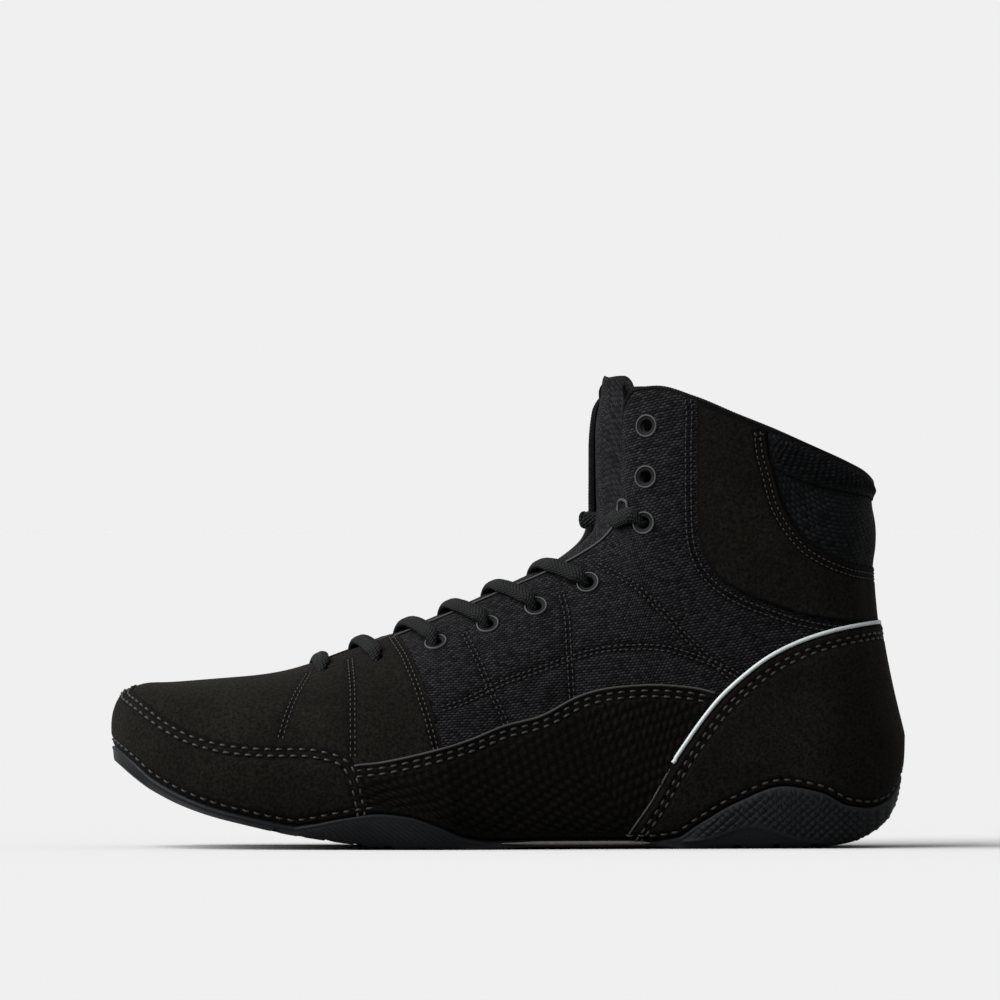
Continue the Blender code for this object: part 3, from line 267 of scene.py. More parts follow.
@dataclass
class View:
    """The photograph's camera: where it stands, and how its frame falls on the shoe."""

    yaw: float = math.radians(-3.0)
    distance: float = 6.0
    metres_per_pixel: float = 0.0003596
    aim: tuple[float, float, float] = (-0.00274, 0.0, 0.12465)
    middle: float = 500.0
    sensor: float = 0.036

    def project(self, points: Array) -> tuple[Array, Array]:
        """Find where points fall in the frame.

        Args:
            points: Points in the model's frame.

        Returns:
            Pixels across and down.
        """
        right = np.array((math.cos(self.yaw), math.sin(self.yaw), 0.0))
        ahead = np.array((-math.sin(self.yaw), math.cos(self.yaw), 0.0))
        rel = points - np.array(self.aim)
        scale = self.distance / self.metres_per_pixel / (rel @ ahead + self.distance)
        return self.middle + rel @ right * scale, self.middle - rel[..., 2] * scale

    def build(self) -> None:
        """Make the camera and give it to the scene."""
        data = bpy.data.cameras.new("photo_view")
        width = 2 * self.middle * self.metres_per_pixel
        data.sensor_width = self.sensor * 1000
        data.lens = self.sensor * 1000 * self.distance / width
        camera = bpy.data.objects.new("photo_view", data)
        x, y, z = self.aim
        camera.location = (x + math.sin(self.yaw) * self.distance, y - math.cos(self.yaw) * self.distance, z)
        camera.rotation_euler = (math.pi / 2, 0.0, self.yaw)
        bpy.context.scene.collection.objects.link(camera)
        bpy.context.scene.camera = camera


@dataclass
class Last:
    """The foot's form. A place on it is a turn, from 0 at the toe to 1 at the heel by the outer side
    and to -1 by the inner side, and a row, from -1 at the feather edge to 0 at the widest line and 1 at
    the top line."""

    length: float = 0.285
    ball_width: float = 0.0985
    toe_height: float = 0.0583
    toe_spring: float = 0.0320
    shaft_height: float = 0.1650
    collar_width: float = 0.0725
    throat_gap: float = 0.0300
    toe_swing: float = 0.0050
    heel_hollow: float = 0.0042
    ankle_pinch: float = 0.0030
    underturn: float = 0.0060
    inner_flare: float = 0.0098
    sole_thickness: float = 0.0065
    sole_gap: float = 0.0005
    heel_rise: float = 0.0240
    wave_height: float = 0.0223
    arch_lift: float = 0.0008
    overlay_room: float = 0.0020
    throat_start: float = 0.238
    shift: tuple[float, float, float] = (-0.142193, 0.002725, 0.0)
    step: float = 0.004
    searches: int = 22

    def __post_init__(self) -> None:
        """Read the tables."""
        self.outer_reach, self.inner_reach = tracks(OUTLINE)
        self.spring, self.plate, self.tuck = tracks(UNDER)
        self.heel_lift = tracks(HEEL_UNDER)[0]
        self.wave = tracks(WAVE)[0]
        self.ridge = tracks(RIDGE)[0]
        self.wide, self.to, self.rise, _, _, self.sweep, self.fullness, self.flare = tracks(SECTIONS)
        reach = [row[4] * (self.collar_width if row[5] else self.throat_gap) for row in SECTIONS]
        self.top_reach = Track([row[0] for row in SECTIONS], reach)

    def place(self, turn: Array) -> tuple[Array, Array]:
        """Split a turn into the share along the last and the sign of y."""
        wrapped = np.mod(turn, 2.0)
        half = np.minimum(wrapped, 2.0 - wrapped)
        return (1 - np.cos(np.pi * half)) / 2, np.where(wrapped <= 1.0, -1.0, 1.0)

    def turn_of(self, along: float) -> float:
        """Return the outer side's turn at a share along the last."""
        return math.acos(1 - 2 * min(max(along, 0.0), 1.0)) / math.pi

    def outline(self, turn: Array) -> Array:
        """Return the widest outline's x and y."""
        along, side = self.place(turn)
        reach = np.where(side < 0, self.outer_reach(along), self.inner_reach(along)) * self.ball_width
        toe = np.where(side < 0, 0.185, 0.150)
        reach = reach * (1 - (1 - np.minimum(along / toe, 1.0)) ** 2.2) ** (1 / 2.2)
        reach = reach * (1 - (1 - np.minimum((1 - along) / 0.120, 1.0)) ** 2.1) ** (1 / 2.1)
        x = self.overlay_room + along * (self.length - 2 * self.overlay_room)
        return np.stack((x, side * reach), axis=-1)

    def inward(self, turn: Array) -> Array:
        """Return the level direction into the shoe, square to the outline."""
        run = self.outline(turn + self.step / 2) - self.outline(turn - self.step / 2)
        return unit(np.stack((-run[..., 1], run[..., 0]), axis=-1))

    def under(self, x: Array) -> Array:
        """Return the height of the sole's underside at a place along the shoe."""
        along = x / self.length
        arch = self.arch_lift * ease(0.46, 0.54, along) * (1 - ease(0.66, 0.72, along))
        return self.spring(along) * self.toe_spring + self.heel_lift(along) * self.heel_rise + arch

    def feather(self, x: Array) -> Array:
        """Return the height at which the upper turns under."""
        return self.under(x) + self.plate(x / self.length) * self.sole_thickness + self.sole_gap

    def bare(self, turn: Array, row: Array) -> Array:
        """Find points of the last, before its toe is swung.

        Args:
            turn: Places round the last.
            row: Rows up the last.

        Returns:
            Points, with x from the toe tip.
        """
        turn, row = np.broadcast_arrays(np.asarray(turn, float), np.asarray(row, float))
        along, side = self.place(turn)
        widest, inward = self.outline(turn), self.inward(turn)
        low = self.feather(widest[..., 0] + inward[..., 0] * self.underturn)
        wide = np.maximum(self.wide(along) * self.toe_height, low + self.underturn)
        angle = np.minimum(row, 0.0) * np.pi / 2
        reach = self.underturn * (1 - np.cos(angle))
        under = np.concatenate(
            (widest + inward * reach[..., None], (wide + (wide - low) * np.sin(angle))[..., None]), axis=-1
        )
        limit = np.radians(self.sweep(along))
        power = 2 / self.fullness(along)
        angle = np.maximum(row, 0.0) * limit
        closing = 1 - np.maximum(np.cos(angle), 0.0) ** power
        closing = closing / (1 - np.maximum(np.cos(limit), 0.0) ** power)
        climbing = np.sin(angle) ** power / np.sin(limit) ** power
        leaning = closing + (climbing - closing) * ease(0.02, 0.20, along)
        flare = np.where(side > 0, self.inner_flare * self.flare(along), 0.0)
        x = widest[..., 0] + (self.to(along) * self.length - flare - widest[..., 0]) * leaning
        y = widest[..., 1] + (self.top_reach(along) * side - widest[..., 1]) * closing
        ridge = self.ridge(x / self.length) * self.toe_height
        edge = self.rise(along) * self.shaft_height
        top = ridge + (edge - ridge) * ease(0.218, 0.288, along)
        z = wide + (top - wide) * climbing
        waist = np.sin(np.pi * np.clip(climbing, 0, 1)) * ease(0.70, 0.95, along)
        x = x - self.heel_hollow * waist * ease(0.90, 1.0, along)
        y = y - np.sign(y) * self.ankle_pinch * waist * (1 - ease(0.97, 1.0, along))
        return np.where((row < 0)[..., None], under, np.stack((x, y, z), axis=-1))

    def normal(self, turn: Array, row: Array) -> Array:
        """Return the directions out of the last."""
        turn, row = np.broadcast_arrays(np.asarray(turn, float), np.asarray(row, float))
        run = self.bare(turn + self.step, row) - self.bare(turn - self.step, row)
        climb = self.bare(turn, np.minimum(row + self.step, 1.0))
        climb = climb - self.bare(turn, np.maximum(row - self.step, -1.0))
        out = np.cross(run, climb)
        along, _ = self.place(turn)
        level = ((row > 0.999) & (along <= self.throat_start)) | (along <= 0.0) | (along >= 1.0)
        out[..., 1] = np.where(level, 0.0, out[..., 1])
        return unit(out)

    def settle(self, points: Array) -> Array:
        """Swing the toe and move points from the last's frame to the model's."""
        inward = 1 - np.minimum(points[..., 0] / (0.42 * self.length), 1.0)
        moved = points + np.array(self.shift)
        moved[..., 1] += self.toe_swing * inward**2
        return moved

    def skin(self, turn: Array, row: Array, out: Array | float = 0.0) -> Array:
        """Find points outside the last.

        Args:
            turn: Places round the last.
            row: Rows up the last.
            out: How far outside the last, in metres.

        Returns:
            Points in the model's frame.
        """
        out = np.asarray(out, float)
        return self.settle(self.bare(turn, row) + self.normal(turn, row) * out[..., None])

    def row_at(self, turn: Array, height: Array) -> Array:
        """Return the rows at which the last reaches the heights."""
        low, high = np.full(np.shape(turn), -1.0), np.full(np.shape(turn), 1.0)
        for _ in range(self.searches):
            middle = (low + high) / 2
            below = self.bare(turn, middle)[..., 2] < height
            low, high = np.where(below, middle, low), np.where(below, high, middle)
        return (low + high) / 2

    def brim(self, turn: Array, room: float = 0.0) -> Array:
        """Return the rows of the rubber's upper edge, or of a line that far above it."""
        x = self.outline(turn)[..., 0]
        height = self.wave(x / self.length) * self.wave_height
        return self.row_at(turn, np.maximum(height, self.feather(x) + 0.0006) + room)

    def find(self, view: View, marks: Marks) -> Array:
        """Find spots of the photograph on the last's outer side.

        Args:
            view: The photograph's camera.
            marks: Pixels across and down.

        Returns:
            A turn and a row for each spot.
        """
        px, py = np.array(marks, float).T
        low, high = np.zeros(len(px)), np.ones(len(px))
        for _ in range(self.searches):
            turn = (low + high) / 2
            row = self.sight_row(view, turn, py)
            short = view.project(self.settle(self.bare(turn, row)))[0] < px
            low, high = np.where(short, turn, low), np.where(short, high, turn)
        turn = (low + high) / 2
        return np.stack((turn, self.sight_row(view, turn, py)), axis=1)

    def sight_row(self, view: View, turn: Array, py: Array) -> Array:
        """Return the rows seen at the frame's heights."""
        low, high = np.full(len(turn), -1.0), np.full(len(turn), 1.0)
        for _ in range(self.searches):
            row = (low + high) / 2
            below = view.project(self.settle(self.bare(turn, row)))[1] > py
            low, high = np.where(below, row, low), np.where(below, high, row)
        return (low + high) / 2


def mirrored(path: Array, sign: int = -1) -> Array:
    """Return a path of turns and rows on the other side of the shoe."""
    return path * np.array((sign, 1.0))


def wrap(path: Array) -> Array:
    """Run a path on over the centre line, at toe or heel, to the same place on the other side."""
    other = mirrored(path)[::-1][1:]
    if path[-1, 0] > 0.5:
        other = other + np.array((2.0, 0.0))
    return np.vstack((path, other))


def link(
    piece: bpy.types.Object, slot: str, finishes: Sequence[bpy.types.Material], *nodes: str
) -> bpy.types.Object:
    """Dress a piece and put it in the scene, on the shoe's one body.

    Args:
        piece: The piece.
        slot: The record's material slot; not used.
        finishes: Its materials, in the order of its faces' numbers.
        nodes: The solids that it stands for.

    Returns:
        The piece.
    """
    for finish in finishes:
        piece.data.materials.append(finish)
    if piece.name not in bpy.context.scene.collection.objects:
        bpy.context.scene.collection.objects.link(piece)
    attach(piece, "root")
    if nodes:
        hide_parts(*nodes)
    return piece


def make_mesh(
    name: str, points: Array, faces: list, uv: Array | None = None, weld: float = 0.0,
    inside_from: int = -1, painted_shade: Array | None = None,
) -> bpy.types.Object:
    """Make a smooth mesh piece.

    Args:
        name: The piece's name.
        points: Its vertices.
        faces: Its faces, as vertex numbers.
        uv: A place in metres on the cloth for each vertex.
        weld: Vertices nearer than this are joined, where it is above 0.
        inside_from: Faces whose first vertex has this number or a later one take the second material.
        painted_shade: How much painted shade each vertex gets, from 0 to 1, kept as a vertex attribute that
            darkens the material.

    Returns:
        The piece, not yet in the scene.
    """
    mesh = bpy.data.meshes.new(name)
    mesh.from_pydata(np.asarray(points, float).reshape(-1, 3).tolist(), [], faces)
    # Painted shade, stored per vertex for the materials to darken by.
    if painted_shade is not None:
        shares = np.zeros(len(mesh.vertices))
        shares[: painted_shade.size] = np.clip(painted_shade, 0.0, 1.0).ravel()
        mesh.attributes.new("painted_shade", "FLOAT", "POINT").data.foreach_set("value", shares)
    if uv is not None:
        corners = np.empty(len(mesh.loops), int)
        mesh.loops.foreach_get("vertex_index", corners)
        layer = mesh.uv_layers.new(name="cloth")
        layer.data.foreach_set("uv", np.asarray(uv, float).reshape(-1, 2)[corners].ravel())
    if inside_from >= 0:
        for polygon, face in zip(mesh.polygons, faces):
            polygon.material_index = 1 if min(face) >= inside_from else 0
    if weld > 0:
        built = bmesh.new()
        built.from_mesh(mesh)
        bmesh.ops.remove_doubles(built, verts=built.verts, dist=weld)
        bmesh.ops.dissolve_degenerate(built, edges=built.edges, dist=weld)
        bmesh.ops.recalc_face_normals(built, faces=built.faces)
        built.to_mesh(mesh)
        built.free()
    mesh.shade_smooth()
    return bpy.data.objects.new(name, mesh)


def grid_faces(columns: int, rows: int, start: int = 0, flip: bool = False) -> list:
    """Return the faces of a grid whose vertices run up each column in turn."""
    i, j = np.meshgrid(np.arange(columns - 1), np.arange(rows - 1), indexing="ij")
    a = (i * rows + j + start).ravel()
    quads = np.stack((a, a + rows, a + rows + 1, a + 1), axis=1)
    return (quads[:, ::-1] if flip else quads).tolist()


def strip_faces(first: Sequence[int], second: Sequence[int]) -> list:
    """Return the faces between two rows of vertices of equal count."""
    return [(first[k], first[k + 1], second[k + 1], second[k]) for k in range(len(first) - 1)]


def cloth_places(points: Array) -> Array:
    """Measure a grid as cloth: metres round along its middle row, and metres up each column."""
    middle = points.shape[1] // 2
    steps = np.linalg.norm(np.diff(points[:, middle], axis=0), axis=1)
    round_it = np.concatenate(([0.0], np.cumsum(steps)))
    steps = np.linalg.norm(np.diff(points, axis=1), axis=2)
    up_it = np.concatenate((np.zeros((len(points), 1)), np.cumsum(steps, axis=1)), axis=1)
    return np.stack((np.broadcast_to(round_it[:, None], up_it.shape), up_it), axis=-1)


def shell(
    name: str, outer: Array, inner: Array, top_open: Array | None = None, ends: bool = True,
    painted_shade: Array | None = None,
) -> bpy.types.Object:
    """Make a closed wall between two grids of points.

    Args:
        name: The piece's name.
        outer: Points of the outer face, columns of rows.
        inner: Points of the inner face, with as many columns.
        top_open: Whether the top edge between each two columns is an edge of the wall.
        ends: Whether the first and last columns are edges of the wall.
        painted_shade: How much painted shade each point of the outer face gets, from 0 to 1.

    Returns:
        The piece.
    """
    n, rows = outer.shape[:2]
    depth = inner.shape[1]
    start = n * rows
    faces = grid_faces(n, rows) + grid_faces(n, depth, start, flip=True)
    outside, inside = np.arange(n * rows).reshape(n, rows), start + np.arange(n * depth).reshape(n, depth)
    faces += strip_faces(inside[:, 0].tolist(), outside[:, 0].tolist())
    top = strip_faces(outside[:, -1].tolist(), inside[:, -1].tolist())
    faces += top if top_open is None else [face for face, is_open in zip(top, top_open) if is_open]
    if ends:
        faces.append([*outside[0].tolist(), *inside[0][::-1].tolist()])
        faces.append([*outside[-1][::-1].tolist(), *inside[-1].tolist()])
    points = np.vstack((outer.reshape(-1, 3), inner.reshape(-1, 3)))
    uv = np.vstack((cloth_places(outer).reshape(-1, 2), cloth_places(inner).reshape(-1, 2)))
    return make_mesh(name, points, faces, uv, weld=2e-6, inside_from=start, painted_shade=painted_shade)


def tube(
    name: str, path: Array, ups: Array, half_width: Array | float, half_height: Array | float,
    sides: int = 12, ripple: Callable[[Array, Array], Array] | None = None,
) -> bpy.types.Object:
    """Make a cord or band of oval section along a path.

    Args:
        name: The piece's name.
        path: Points along its middle.
        ups: The direction that its broad face looks at each point.
        half_width: Half its width.
        half_height: Half its thickness.
        sides: How many sides its section has.
        ripple: How far its face stands proud, from metres along and the angle round.

    Returns:
        The piece.
    """
    ahead = unit(np.gradient(path, axis=0))
    across = unit(np.cross(ahead, ups))
    rise = np.cross(across, ahead)
    angle = np.arange(sides) * 2 * np.pi / sides
    along = np.concatenate(([0.0], np.cumsum(np.linalg.norm(np.diff(path, axis=0), axis=1))))
    wide = np.broadcast_to(np.asarray(half_width, float), along.shape)[:, None]
    high = np.broadcast_to(np.asarray(half_height, float), along.shape)[:, None]
    more = 0.0 if ripple is None else ripple(along[:, None], angle[None, :])
    c = (wide + more) * np.cos(angle)
    s = (high + more) * np.sin(angle)
    points = path[:, None] + across[:, None] * c[..., None] + rise[:, None] * s[..., None]
    n = len(path)
    faces = []
    for i in range(n - 1):
        for j in range(sides):
            k = (j + 1) % sides
            faces.append((i * sides + j, (i + 1) * sides + j, (i + 1) * sides + k, i * sides + k))
    faces.append(list(range(sides)))
    faces.append(list(range(n * sides - 1, (n - 1) * sides - 1, -1)))
    uv = np.stack(np.broadcast_arrays(along[:, None], angle[None, :] * wide), axis=-1)
    return make_mesh(name, points, faces, uv)


class Field:
    """How deep the cloth is drawn in near seams, and how it swells between them."""

    def __init__(self) -> None:
        self.points: list[Array] = []
        self.facts: list[tuple[float, float]] = []
        self.tree: KDTree | None = None

    def add(self, points: Array, depth: float, width: float) -> None:
        """Draw the cloth in along a line.

        Args:
            points: Points along the line, in the model's frame.
            depth: How deep it is drawn in.
            width: How wide the trough is.
        """
        count = max(2, int(np.linalg.norm(np.diff(points, axis=0), axis=1).sum() / 0.0008))
        dense = resample(points, count)
        self.points.append(dense)
        self.facts += [(depth, width)] * len(dense)
        self.tree = None

    def reach(self, points: Array) -> tuple[Array, Array, Array]:
        """Return how far each point is from the nearest line, and that line's depth and width."""
        if self.tree is None:
            every = np.vstack(self.points)
            self.tree = KDTree(len(every))
            for i, point in enumerate(every):
                self.tree.insert(point, i)
            self.tree.balance()
        flat = points.reshape(-1, 3)
        found = [self.tree.find(point)[1:] for point in flat.tolist()]
        far = np.array([distance for _, distance in found])
        facts = np.array([self.facts[index] for index, _ in found])
        shape = points.shape[:-1]
        return far.reshape(shape), facts[:, 0].reshape(shape), facts[:, 1].reshape(shape)

    def drawn_in(self, points: Array, swell: float = 0.0, spread: float = 0.006) -> tuple[Array, Array]:
        """Return how far out the cloth stands, and how far down a trough it is, from 0 to 1; the trough share is
        also used as painted shade along the seams.
        """
        if not self.points:
            return np.zeros(points.shape[:-1]), np.zeros(points.shape[:-1])
        far, depth, width = self.reach(points)
        trough = np.exp(-((far / width) ** 2))
        return swell * (1 - np.exp(-((far / spread) ** 2))) - depth * trough, trough


def undulation(points: Array, size: float, wavelength: float) -> Array:
    """Return a soft unevenness of a surface, the same each run."""
    k = 2 * np.pi / wavelength
    x, y, z = points[..., 0], points[..., 1], points[..., 2]
    waves = np.sin(k * (x + 0.6 * z) + 1.1) + np.sin(k * (0.7 * z - 0.9 * y) * 1.3 + 0.4)
    waves = waves + np.sin(k * (0.8 * x - 1.1 * z + 0.5 * y) * 0.7 + 2.3)
    return size * waves / 3


@dataclass(frozen=True)
class Stitch:
    """One kind of stitch: thread size, length and pitch."""

    pitch: float = 0.0021
    length: float = 0.0015
    width: float = 0.00055
    lift: float = 0.00012


Colour = tuple[float, float, float]


class Graph:
    """Builds the nodes of one material."""

    def __init__(self, name: str) -> None:
        self.material = bpy.data.materials.new(name)
        self.material.use_nodes = True
        self.tree = self.material.node_tree
        self.shader = self.tree.nodes["Principled BSDF"]

    def feed(self, socket: bpy.types.NodeSocket, value: object) -> None:
        """Link a socket to another one, or set its value."""
        if isinstance(value, bpy.types.NodeSocket):
            self.tree.links.new(value, socket)
        else:
            socket.default_value = value

    def node(self, kind: str, inputs: dict | None = None, **settings: object) -> bpy.types.Node:
        """Add a node, set its options, and set or link its inputs."""
        made = self.tree.nodes.new(kind)
        for key, value in settings.items():
            setattr(made, key, value)
        for key, value in (inputs or {}).items():
            self.feed(made.inputs[key], value)
        return made

    def maths(self, operation: str, *values: object) -> bpy.types.NodeSocket:
        """Return the result of one sum."""
        return self.node("ShaderNodeMath", dict(enumerate(values)), operation=operation).outputs[0]

    def times(self, first: object, second: object) -> bpy.types.NodeSocket:
        """Return a product."""
        return self.maths("MULTIPLY", first, second)

    def cloth(self) -> tuple[bpy.types.NodeSocket, bpy.types.NodeSocket]:
        """Return metres round and up the cloth."""
        places = self.node("ShaderNodeUVMap", uv_map="cloth").outputs[0]
        parts = self.node("ShaderNodeSeparateXYZ", {0: places})
        return parts.outputs[0], parts.outputs[1]

    def noise(self, scale: float, detail: float = 2.0) -> bpy.types.NodeSocket:
        """Return a noise of the object's own space."""
        source = self.node("ShaderNodeTexCoord").outputs["Object"]
        inputs = {"Vector": source, "Scale": scale, "Detail": detail, "Roughness": 0.5}
        return self.node("ShaderNodeTexNoise", inputs).outputs[0]

    def mix(self, share: object, first: Colour, second: Colour) -> bpy.types.NodeSocket:
        """Return a colour between two."""
        made = self.node("ShaderNodeMix", data_type="RGBA")
        for key, value in ((0, share), (6, (*first, 1.0)), (7, (*second, 1.0))):
            self.feed(made.inputs[key], value)
        return made.outputs[2]

    def hollow(self, tone: object, share: float = 0.85) -> bpy.types.NodeSocket:
        """Darken a tone by the piece's groove attribute: painted shade in its seams, grooves, rims and hollows.
        """
        painted_shade = self.node("ShaderNodeAttribute", attribute_name="painted_shade").outputs["Fac"]
        return self.maths("MULTIPLY", tone, self.maths("MULTIPLY_ADD", painted_shade, -share, 1.0))

    def spread(
        self, value: object, to_low: float, to_high: float, low: float = 0.3, high: float = 0.7
    ) -> bpy.types.NodeSocket:
        """Return a value moved to a range from one, which is by default a noise's usual reach."""
        made = self.node("ShaderNodeMapRange", {0: value, 1: low, 2: high, 3: to_low, 4: to_high})
        return made.outputs[0]

    def bump(self, *layers: tuple[object, float]) -> None:
        """Roughen the surface with layers of height, each with its depth in metres."""
        normal = None
        for height, depth in layers:
            inputs = {"Height": height, "Distance": depth, "Strength": 1.0}
            if normal is not None:
                inputs["Normal"] = normal
            normal = self.node("ShaderNodeBump", inputs).outputs[0]
        self.tree.links.new(normal, self.shader.inputs["Normal"])

    def set(self, **values: object) -> None:
        """Set or link the shader's sockets, named with underscores for spaces."""
        for key, value in values.items():
            self.feed(self.shader.inputs[key.replace("_", " ")], value)


@dataclass(frozen=True)
class Suede:
    """Matt napped leather."""

    name: str = "black_suede"
    dark: Colour = (0.0004, 0.00035, 0.0003)
    light: Colour = (0.0054, 0.0045, 0.0034)
    nap: float = 0.00016

    def make(self) -> bpy.types.Material:
        """Build the material."""
        g = Graph(self.name)
        fine, broad = g.noise(2600, 3), g.noise(45, 3)
        speck = g.noise(900, 2)
        tone = g.times(g.spread(speck, 0.15, 1.0), g.spread(broad, 0.55, 1.0))
        g.set(
            Base_Color=g.mix(g.hollow(tone), self.dark, self.light),
            Roughness=g.spread(fine, 0.82, 0.98),
            Specular_IOR_Level=0.025, Sheen_Weight=0.008, Sheen_Roughness=0.5,
            Sheen_Tint=(0.80, 0.70, 0.58, 1.0),
        )
        g.bump((broad, 0.0006), (speck, self.nap * 1.4), (fine, self.nap))
        return g.material


@dataclass(frozen=True)
class Weave:
    """Cloth of crossing threads, in rows that run round the shoe."""

    name: str
    across: float
    up: float
    depth: float
    dark: Colour
    light: Colour
    slant: float = 0.0

    def make(self) -> bpy.types.Material:
        """Build the material."""
        g = Graph(self.name)
        round_it, up_it = g.cloth()
        wander = g.noise(160, 2)
        up_it = g.maths("ADD", up_it, g.times(wander, self.up * 0.9))
        up_it = g.maths("ADD", up_it, g.times(round_it, self.slant))
        rows = g.maths("DIVIDE", up_it, self.up)
        row = g.maths("FLOOR", rows)
        shift = g.times(g.maths("MODULO", row, 2.0), 0.5)
        cells = g.maths("ADD", g.maths("DIVIDE", round_it, self.across), shift)
        cell = g.maths("FLOOR", cells)
        lift = g.maths("SINE", g.times(g.maths("FRACT", rows), math.pi))
        bead = g.maths("SINE", g.times(g.maths("FRACT", cells), math.pi))
        height = g.times(g.maths("POWER", lift, 0.7), g.maths("POWER", bead, 0.6))
        spot = g.node("ShaderNodeCombineXYZ", {0: cell, 1: row}).outputs[0]
        chance = g.node("ShaderNodeTexWhiteNoise", {"Vector": spot}, noise_dimensions="3D").outputs[0]
        fuzz = g.noise(3200, 2)
        # Painted shade: the bead's height darkens the gaps between threads, on top of the random tone of each
        # stitch.
        tone = g.times(g.spread(chance, 0.10, 1.0, 0.0, 1.0), height)
        tone = g.times(tone, g.spread(fuzz, 0.4, 1.0))
        g.set(
            Base_Color=g.mix(g.hollow(tone), self.dark, self.light),
            Roughness=g.spread(fuzz, 0.75, 0.95),
            Specular_IOR_Level=0.04, Sheen_Weight=0.006, Sheen_Roughness=0.4,
            Sheen_Tint=(0.75, 0.76, 0.85, 1.0),
        )
        g.bump((height, self.depth), (fuzz, self.depth * 0.35))
        return g.material


@dataclass(frozen=True)
class Plain:
    """A smooth or faintly grained finish: rubber, thread, ring, piping."""

    name: str
    dark: Colour
    light: Colour
    roughness: tuple[float, float] = (0.5, 0.7)
    grain: float = 0.00004
    scale: float = 2200
    specular: float = 0.3

    def make(self) -> bpy.types.Material:
        """Build the material."""
        g = Graph(self.name)
        fine, broad = g.noise(self.scale, 2), g.noise(70, 2)
        tone = g.times(g.spread(fine, 0.4, 1.0), g.spread(broad, 0.6, 1.0))
        g.set(
            Base_Color=g.mix(g.hollow(tone), self.dark, self.light),
            Roughness=g.spread(broad, *self.roughness),
            Specular_IOR_Level=self.specular,
        )
        g.bump((fine, self.grain))
        return g.material


@dataclass(frozen=True)
class Braid:
    """A braided lace: threads that cross on the slant."""

    name: str = "braided_lace"
    dark: Colour = (0.0002, 0.0003, 0.0003)
    light: Colour = (0.0054, 0.0063, 0.0067)
    pitch: float = 0.0016

    def make(self) -> bpy.types.Material:
        """Build the material."""
        g = Graph(self.name)
        along, across = g.cloth()
        up = g.maths("DIVIDE", g.maths("ADD", along, across), self.pitch)
        down = g.maths("DIVIDE", g.maths("SUBTRACT", along, across), self.pitch)
        first = g.maths("ABSOLUTE", g.maths("SINE", g.times(up, math.pi)))
        second = g.maths("ABSOLUTE", g.maths("SINE", g.times(down, math.pi)))
        height = g.times(first, second)
        fuzz = g.noise(3000, 2)
        # Painted shade: the colour follows the braid's height, so the valleys between crossing threads are
        # darker.
        g.set(
            Base_Color=g.mix(g.times(height, g.spread(fuzz, 0.6, 1.0)), self.dark, self.light),
            Roughness=g.spread(fuzz, 0.65, 0.9), Specular_IOR_Level=0.08,
        )
        g.bump((height, 0.00035), (fuzz, 0.00005))
        return g.material


class Wardrobe:
    """Every finish of the shoe, made once."""

    def __init__(self) -> None:
        knit_light, knit_dark = (0.0165, 0.0155, 0.0185), (0.0002, 0.0002, 0.0003)
        self.suede = Suede().make()
        self.panel = Suede("embossed_suede", light=(0.0040, 0.0034, 0.0030)).make()
        self.knit = Weave("tweed_knit", 0.0019, 0.0010, 0.00050, knit_dark, knit_light, 0.06).make()
        self.pad = Weave(
            "padded_mesh", 0.0026, 0.0016, 0.0007, (0.0003, 0.0004, 0.0005), (0.0075, 0.0085, 0.0100), -0.35
        ).make()
        self.lining = Weave(
            "lining_cloth", 0.0011, 0.0008, 0.00012, (0.0008, 0.0008, 0.0008), (0.005, 0.005, 0.0055)
        ).make()
        self.rubber = Plain(
            "charcoal_rubber", (0.0003, 0.0004, 0.0006), (0.0072, 0.0083, 0.0102), (0.50, 0.66), specular=0.07
        ).make()
        self.thread = Plain(
            "black_thread", (0.002, 0.002, 0.002), (0.0105, 0.0094, 0.0084), (0.5, 0.8), specular=0.20
        ).make()
        self.quilt_thread = Plain(
            "grey_thread", (0.004, 0.004, 0.0043), (0.0160, 0.0158, 0.0168), (0.6, 0.8), specular=0.10
        ).make()
        self.piping = Plain(
            "silver_piping", (0.15, 0.165, 0.165), (0.25, 0.27, 0.27), (0.35, 0.5), scale=1500
        ).make()
        self.ring = Plain(
            "dark_ring", (0.0010, 0.0010, 0.0012), (0.0034, 0.0035, 0.0040), (0.60, 0.75), specular=0.05
        ).make()
        self.ring_edge = Plain(
            "ring_edge", (0.011, 0.0115, 0.013), (0.024, 0.0252, 0.0272), (0.45, 0.6), specular=0.15
        ).make()
        # Painted highlight: a lighter tone for the cords along folded edges, standing in for the light they
        # catch.
        self.lit_fold = Plain(
            "folded_edge_highlight", (0.006, 0.006, 0.0058), (0.022, 0.0215, 0.0205), (0.6, 0.8), specular=0.15
        ).make()
        self.strip = Plain(
            "beige_strip", (0.03, 0.026, 0.022), (0.075, 0.066, 0.057), (0.6, 0.8), specular=0.1
        ).make()
        self.lace = Braid().make()


